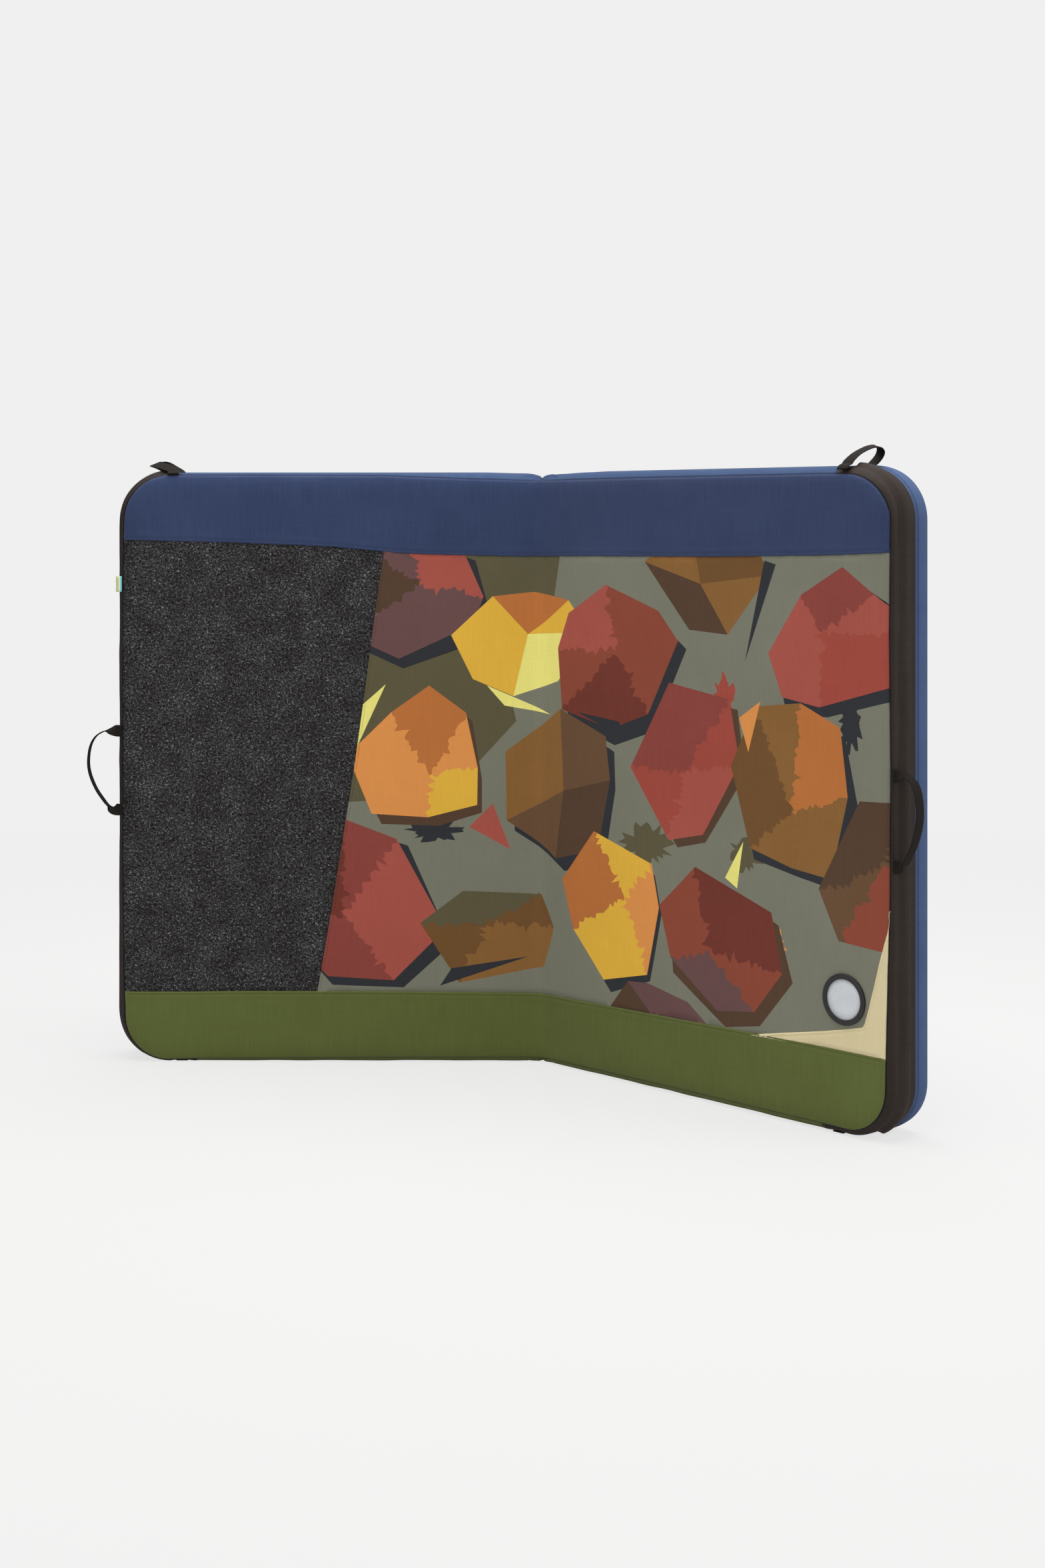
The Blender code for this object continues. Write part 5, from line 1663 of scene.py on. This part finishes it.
def puffed(piece, pinned, cap):
    # the piece blown up a little as cloth round its pinned seams
    group = piece.vertex_groups.new(name="seam")
    group.add(pinned, 1.0, "REPLACE")
    before = np.zeros(len(piece.data.vertices) * 3)
    piece.data.vertices.foreach_get("co", before)
    step = piece.modifiers.new("cloth", "CLOTH")
    for label, value in puff["cloth"].items():
        setattr(step.settings, label, value)
    step.settings.effector_weights.gravity = 0.0
    scene = bpy.context.scene
    for number in range(1, puff["steps"] + 1):
        scene.frame_set(number)
    graph = bpy.context.evaluated_depsgraph_get()
    result = piece.evaluated_get(graph).to_mesh()
    after = np.zeros(len(before))
    result.vertices.foreach_get("co", after)
    piece.evaluated_get(graph).to_mesh_clear()
    piece.modifiers.clear()
    scene.frame_set(1)
    moves = (after - before).reshape(-1, 3)
    sizes = np.maximum(np.linalg.norm(moves, axis=1), 1e-9)
    moves *= (np.minimum(sizes, cap) / sizes)[:, None]
    piece.data.vertices.foreach_set("co", before + moves.ravel())
    piece.data.update()


def makeShoulderPad(name, outward):
    line, across, off, width, thick = strapFrames(outward)
    count, node = 28, name + "_shoulder_pad"

    def pointAt(k, turn):
        aside = math.copysign(abs(math.cos(turn)) ** 0.6, math.cos(turn)) * width[k] / 2
        up = math.copysign(abs(math.sin(turn)) ** 0.8, math.sin(turn)) * thick[k] / 2
        point = onHalf("left", *(line[k] + across[k] * aside + off[k] * up))
        return point, (aside, harness["step"] * k + (0.2 if up < 0 else 0.0))

    piece = tubeObject(camel(node), len(line), count, pointAt)
    total = len(line) * count
    seam = [k + j for k in range(0, total, count) for j in (0, count // 2)]
    puffed(piece, [*seam, *range(count), *range(total - count, total)],
           harness["swellCap"])
    soften = piece.modifiers.new("soften", "SUBSURF")
    soften.levels = soften.render_levels = 1
    # the pad takes the blue cloth painted lighter, as painted light
    finished(evaluated(piece), cloths["blueSidePaintedLightCloth"], "blue_cloth", node,
             rides="left_half")


def makeBinding(name, outward):
    # woven binding round the edge of a shoulder pad
    line, across, off, width, _ = strapFrames(outward)
    halfWide, halfHigh, inwards, girth = harness["binding"]
    edge = across * width[:, None] / 2
    ring = np.concatenate([line + edge, (line - edge)[::-1]])
    ringOff = np.concatenate([off, off[::-1]])
    outwards = unit(np.concatenate([across, -across[::-1]]))

    def pointAt(k, turn):
        place = (ring[k] + outwards[k] * (halfWide * math.cos(turn) - inwards)
                 + ringOff[k] * halfHigh * math.sin(turn))
        return onHalf("left", *place), (harness["step"] * k, girth * turn / math.tau)

    binding = tubeObject(name + "PadBinding", len(ring), 10, pointAt, closes=True)
    finished(binding, webbing, "webbing", rides="left_half")


def boxRows(x, deep, z, wide, high):
    # a stitched box with its cross on the cover's ground side
    corners = [(x - wide / 2, z - high / 2), (x + wide / 2, z - high / 2),
               (x + wide / 2, z + high / 2), (x - wide / 2, z + high / 2)]
    rows = []
    for one, two in ((0, 1), (1, 2), (2, 3), (3, 0), (0, 2), (1, 3)):
        line = resample([corners[one], corners[two]], 0.003)
        places = onHalf("left", line[:, 0], deep, line[:, 1])
        ways = np.tile(wayOnHalf("left", 0, 1, 0), (len(line), 1))
        rows.append((places, ways, False))
    return rows


def makeStrapWeb(name, outward):
    # up from the cover and round the middle bar of the lock, with a tail
    gap, thick = pad["gap"], tape["thickness"]
    lockX = pad["length"] / 2 + outward * (harness["gap"] + harness["spread"]) / 2
    lockDeep = strapFrames(outward)[0][-1][1]
    footX = lockX + outward * harness["spread"] / 2
    length, bar = harness["lockLength"], harness["lockBar"]
    lockZ = harness["top"] - harness["length"] - gap - length / 2
    lockZ -= harness["thickness"] / 8
    clear = 2 * gap + thick / 2
    turn = harness["lockThickness"] / 2 + clear
    footDeep, foot = ground + thick / 2, harness["foot"]
    web, half, past = harness["footSewn"], bar / 2, -length / 2 - (length - 3 * bar) / 2
    rows = [(footX, footDeep, foot), (footX, footDeep, foot + web / 2),
            (footX, footDeep + gap, foot + web),
            ((footX + lockX) / 2, (footDeep + lockDeep - turn) / 2, (foot + lockZ) / 2)]
    rows += [(lockX, lockDeep + share * turn, lockZ + up) for share, up in (
        (-1, past), (-1, -half), (-1, half / 2), (-0.85, half + clear),
        (0, half + 2 * clear), (0.85, half + clear), (1, half / 2), (1, -half), (1, past),
        (1, -harness["tail"]))]
    makeTape(name + "_strap_web", [routeRow("left", row, (-1, 0, 0)) for row in rows],
             width=harness["webWidth"])
    return boxRows(footX, footDeep + thick / 2 + harness["boxLift"],
                   foot + harness["footBoxUp"], *harness["footBox"])


def makeHarness():
    rows = []
    for name, outward in (("inner", -1), ("outer", 1)):
        makeShoulderPad(name, outward)
        makeBinding(name, outward)
        rows += makeStrapWeb(name, outward)
        topX = pad["length"] / 2 + outward * harness["gap"] / 2
        deep = ground + harness["thickness"] * 0.86
        rows += boxRows(topX, deep, harness["top"] - harness["topBoxDown"],
                        *harness["topBox"])
    deep = ground + tape["thickness"] / 2
    span, height = harness["haulSpan"], harness["haulHeight"]
    makeTape("haul_loop", [
        routeRow("left", (pad["length"] / 2 + span / 2 * aside,
                          deep + harness["haulRise"] * up, height), (0, 0, 1))
        for aside, up in harness["haulShares"]])
    for way in (-1, 1):
        x = pad["length"] / 2 + way * span / 2 * 0.93
        rows += boxRows(x, deep + tape["thickness"] / 2 + harness["boxLift"], height,
                        *harness["haulBox"])
    sewn("harnessStitches", rows, "darkThread", "webbing", rides="left_half",
         pitch=stitchPlaces["harnessPitch"])


makeHarness()
print("harness made")


# Woven label

label = {
    "thickness": 0.0013,
    "cloth": 0.0003,
    "in": 0.0003,  # from the ends of its solid
    "bend": 0.0005,
    "stripes": ((0.0, (186, 200, 138)), (0.48, (226, 224, 206)), (0.74, (112, 202, 206))),
}


def makeLabel():
    # a folded tape in the seam, with plain stripes
    low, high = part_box("woven_label")
    deepAt = (low[1] + high[1]) / 2
    span, half = high[0] - low[0], label["thickness"] / 2
    profile = [(high[0], deepAt + half)]
    profile += [(low[0] + half * (1 + math.cos(turn)), deepAt + half * math.sin(turn))
                for turn in np.radians(np.linspace(90, 270, 7))]
    profile.append((high[0], deepAt - half))
    points, flat = [], []
    for z in np.linspace(low[2] + label["in"], high[2] - label["in"], 10):
        up = (z - low[2]) / (high[2] - low[2])
        bend = label["bend"] * math.sin(up * math.pi * 1.4)
        points.append([(x, y + bend * (high[0] - x) / span, z) for x, y in profile])
        flat.append([((high[0] - x) / span, z) for x, _ in profile])
    piece = gridObject("wovenLabel", points, flat)
    material, tree, shader = newMaterial("wovenLabel", 0.8, 0.05)
    parts = addNode(tree, "ShaderNodeSeparateXYZ", {0: clothPlace(tree)})
    across = mathNode(tree, "SUBTRACT", 1.0, parts.outputs[0])
    tree.links.new(rampNode(tree, across, label["stripes"], "CONSTANT"),
                   shader.inputs["Base Color"])
    rib = mathNode(tree, "SINE", times(tree, parts.outputs[1], 9000.0))
    useBump(tree, shader, rib, 0.00008)
    finished(thicken(piece, label["cloth"]), material, "woven_tab", "woven_label",
             rides="left_half")


makeLabel()


# Badge on the printed canvas, bare

badge = {
    "x": 0.629, "z": 0.2044, "radius": 0.0385, "rimWidth": 0.0080, "ease": 0.0009,
    "back": 0.0016, "front": -0.0027, "steps": 96,
    # the disc runs under the rim, and its rings rise a little towards the middle
    "under": 0.0005, "discRings": ((0.66, -0.0011), (0.33, -0.00115)),
    "discFront": -0.0010,
}


def makeBadge():
    # a rubber rim with rounded edges round a pale disc
    outer, ease, steps = badge["radius"], badge["ease"], badge["steps"]
    inner, front, back = outer - badge["rimWidth"], badge["front"], badge["back"]
    corner, disc = 0.3 * ease, inner + badge["under"]
    profiles = {
        "Rim": ((outer, back), (outer, front + ease), (outer - corner, front + corner),
                (outer - ease, front), (inner + ease, front),
                (inner + corner, front + corner), (inner, front + ease), (inner, back)),
        "Disc": ((disc, back), (disc, badge["discFront"]),
                 *((inner * share, deep) for share, deep in badge["discRings"])),
    }
    turns = math.tau * np.arange(steps) / steps
    for kind, material, slot in (("Rim", "blackRubber", "black_rubber"),
                                 ("Disc", "paleRubber", "pale_rubber")):
        profile = profiles[kind]
        places = [onHalf("right", badge["x"] + radius * np.cos(turns), deep,
                         badge["z"] + radius * np.sin(turns)) for radius, deep in profile]
        isRim = kind == "Rim"
        faces = ringFaces(len(profile), steps, closes=isRim, caps=False)
        if not isRim:
            faces.append(tuple(range((len(profile) - 1) * steps, len(profile) * steps)))
        piece = newObject("badge" + kind, np.concatenate(places), faces)
        finished(facedOut(piece), solids[material], slot, "badge_" + kind.lower(),
                 rides="right_half")


makeBadge()


# CAD pieces that stay: their own finish

for nodes, finish in ((("inner_ladder_lock", "outer_ladder_lock"), "bucklePlastic"),
                      (("left_zip_slider", "right_zip_slider"), "zipMetal")):
    for node in nodes:
        for place in frame["nodes"][node].material_slots:
            place.material = solids[finish]


# Camera, floor and light

photoView = {
    # fitted to the outline and the seams of the photo
    "lens": 49.59, "sensor": 36.0, "shift": -0.1659, "at": (0.0866, -3.4827, 0.9144),
    "turn": 0.448,
}


def makeCamera():
    data = bpy.data.cameras.new("photoCamera")
    data.lens, data.sensor_width = photoView["lens"], photoView["sensor"]
    data.shift_y = photoView["shift"]
    data.dof.use_dof = False
    camera = addObject("photoCamera", data)
    camera.location = photoView["at"]
    camera.rotation_euler = (math.radians(90), 0, math.radians(photoView["turn"]))
    bpy.context.scene.camera = camera


studio = {
    "background": 0.87,
    "ambient": 0.42,
    "floorSeen": (0.11, 0.11, 0.109, 1),
    "floorBounce": (0.64, 0.64, 0.633, 1),
    "floorGlow": 0.715,
    "floorRings": (1.2, 2.4, 3.6, 5.0),
    "floorFade": (1.0, 3.4),
    "overhead": {"at": (0.1, 0.2, 3.4), "towards": (0.0, 0.1, 0.4), "size": (3.4, 3.0),
                 "power": 170.0},
    "rightSide": {"at": (3.4, -0.9, 1.8), "towards": (0.2, 0.0, 0.5), "size": (1.8, 2.4),
                  "power": 60.0},
    "frontFill": {"at": (-1.4, -3.6, 2.2), "towards": (0.0, 0.0, 0.4), "size": (2.6, 2.2),
                  "power": 40.0},
}


def makeLight(name, values):
    data = bpy.data.lights.new(name, "AREA")
    data.shape = "RECTANGLE"
    data.size, data.size_y = values["size"]
    data.energy = values["power"]
    light = addObject(name, data)
    light.location = values["at"]
    way = Vector(values["towards"]) - Vector(values["at"])
    light.rotation_euler = way.to_track_quat("-Z", "Y").to_euler()


def raysSeen(tree, *kinds):
    # 1 for light that goes straight to the camera, or by one of these ways too
    path = addNode(tree, "ShaderNodeLightPath")
    seen = path.outputs["Is Camera Ray"]
    for kind in kinds:
        seen = mathNode(tree, "MAXIMUM", seen, path.outputs[f"Is {kind} Ray"])
    return seen


def makeWorld():
    world = bpy.data.worlds.new("studio")
    bpy.context.scene.world = world
    world.use_nodes = True
    tree = world.node_tree
    tree.nodes.clear()
    level = addNode(tree, "ShaderNodeMix", {
        0: raysSeen(tree, "Transmission"), 2: studio["ambient"], 3: studio["background"]})
    sky = addNode(tree, "ShaderNodeBackground", {"Color": (1, 1, 1, 1),
                                                 "Strength": level.outputs[0]})
    end = addNode(tree, "ShaderNodeOutputWorld")
    tree.links.new(sky.outputs[0], end.inputs[0])


def makeFloor():
    # rings of points round a middle, which comes last
    rings, count = studio["floorRings"], 64
    points = [(radius * math.cos(math.tau * k / count),
               radius * math.sin(math.tau * k / count), 0)
              for radius in rings for k in range(count)]
    faces = [(len(points), k, (k + 1) % count) for k in range(count)]
    faces += [face[::-1] for face in ringFaces(len(rings), count, caps=False)]
    floor = newObject("studioFloor", [*points, (0, 0, 0)], faces)
    material, tree, shader = newMaterial("studioFloor", 0.9, gloss=0.1)
    shader.inputs["Emission Color"].default_value = (1, 1, 0.995, 1)
    # pale shadows for the camera, an ordinary pale floor for the light that bounces
    seen = raysSeen(tree, "Glossy", "Transmission")
    tree.links.new(mixColour(tree, seen, studio["floorBounce"], studio["floorSeen"]),
                   shader.inputs["Base Color"])
    tree.links.new(times(tree, seen, studio["floorGlow"]),
                   shader.inputs["Emission Strength"])
    place = addNode(tree, "ShaderNodeTexCoord").outputs["Object"]
    far = addNode(tree, "ShaderNodeVectorMath", {0: place}, operation="LENGTH")
    fade = rangeNode(tree, far.outputs["Value"], *studio["floorFade"], 1.0, 0.0)
    tree.links.new(fade, shader.inputs["Alpha"])
    floor.data.materials.append(material)


makeCamera()
for name in ("overhead", "rightSide", "frontFill"):
    makeLight(name, studio[name])
makeWorld()
makeFloor()
bpy.context.scene.view_settings.view_transform = "Standard"
bpy.context.scene.render.film_transparent = False
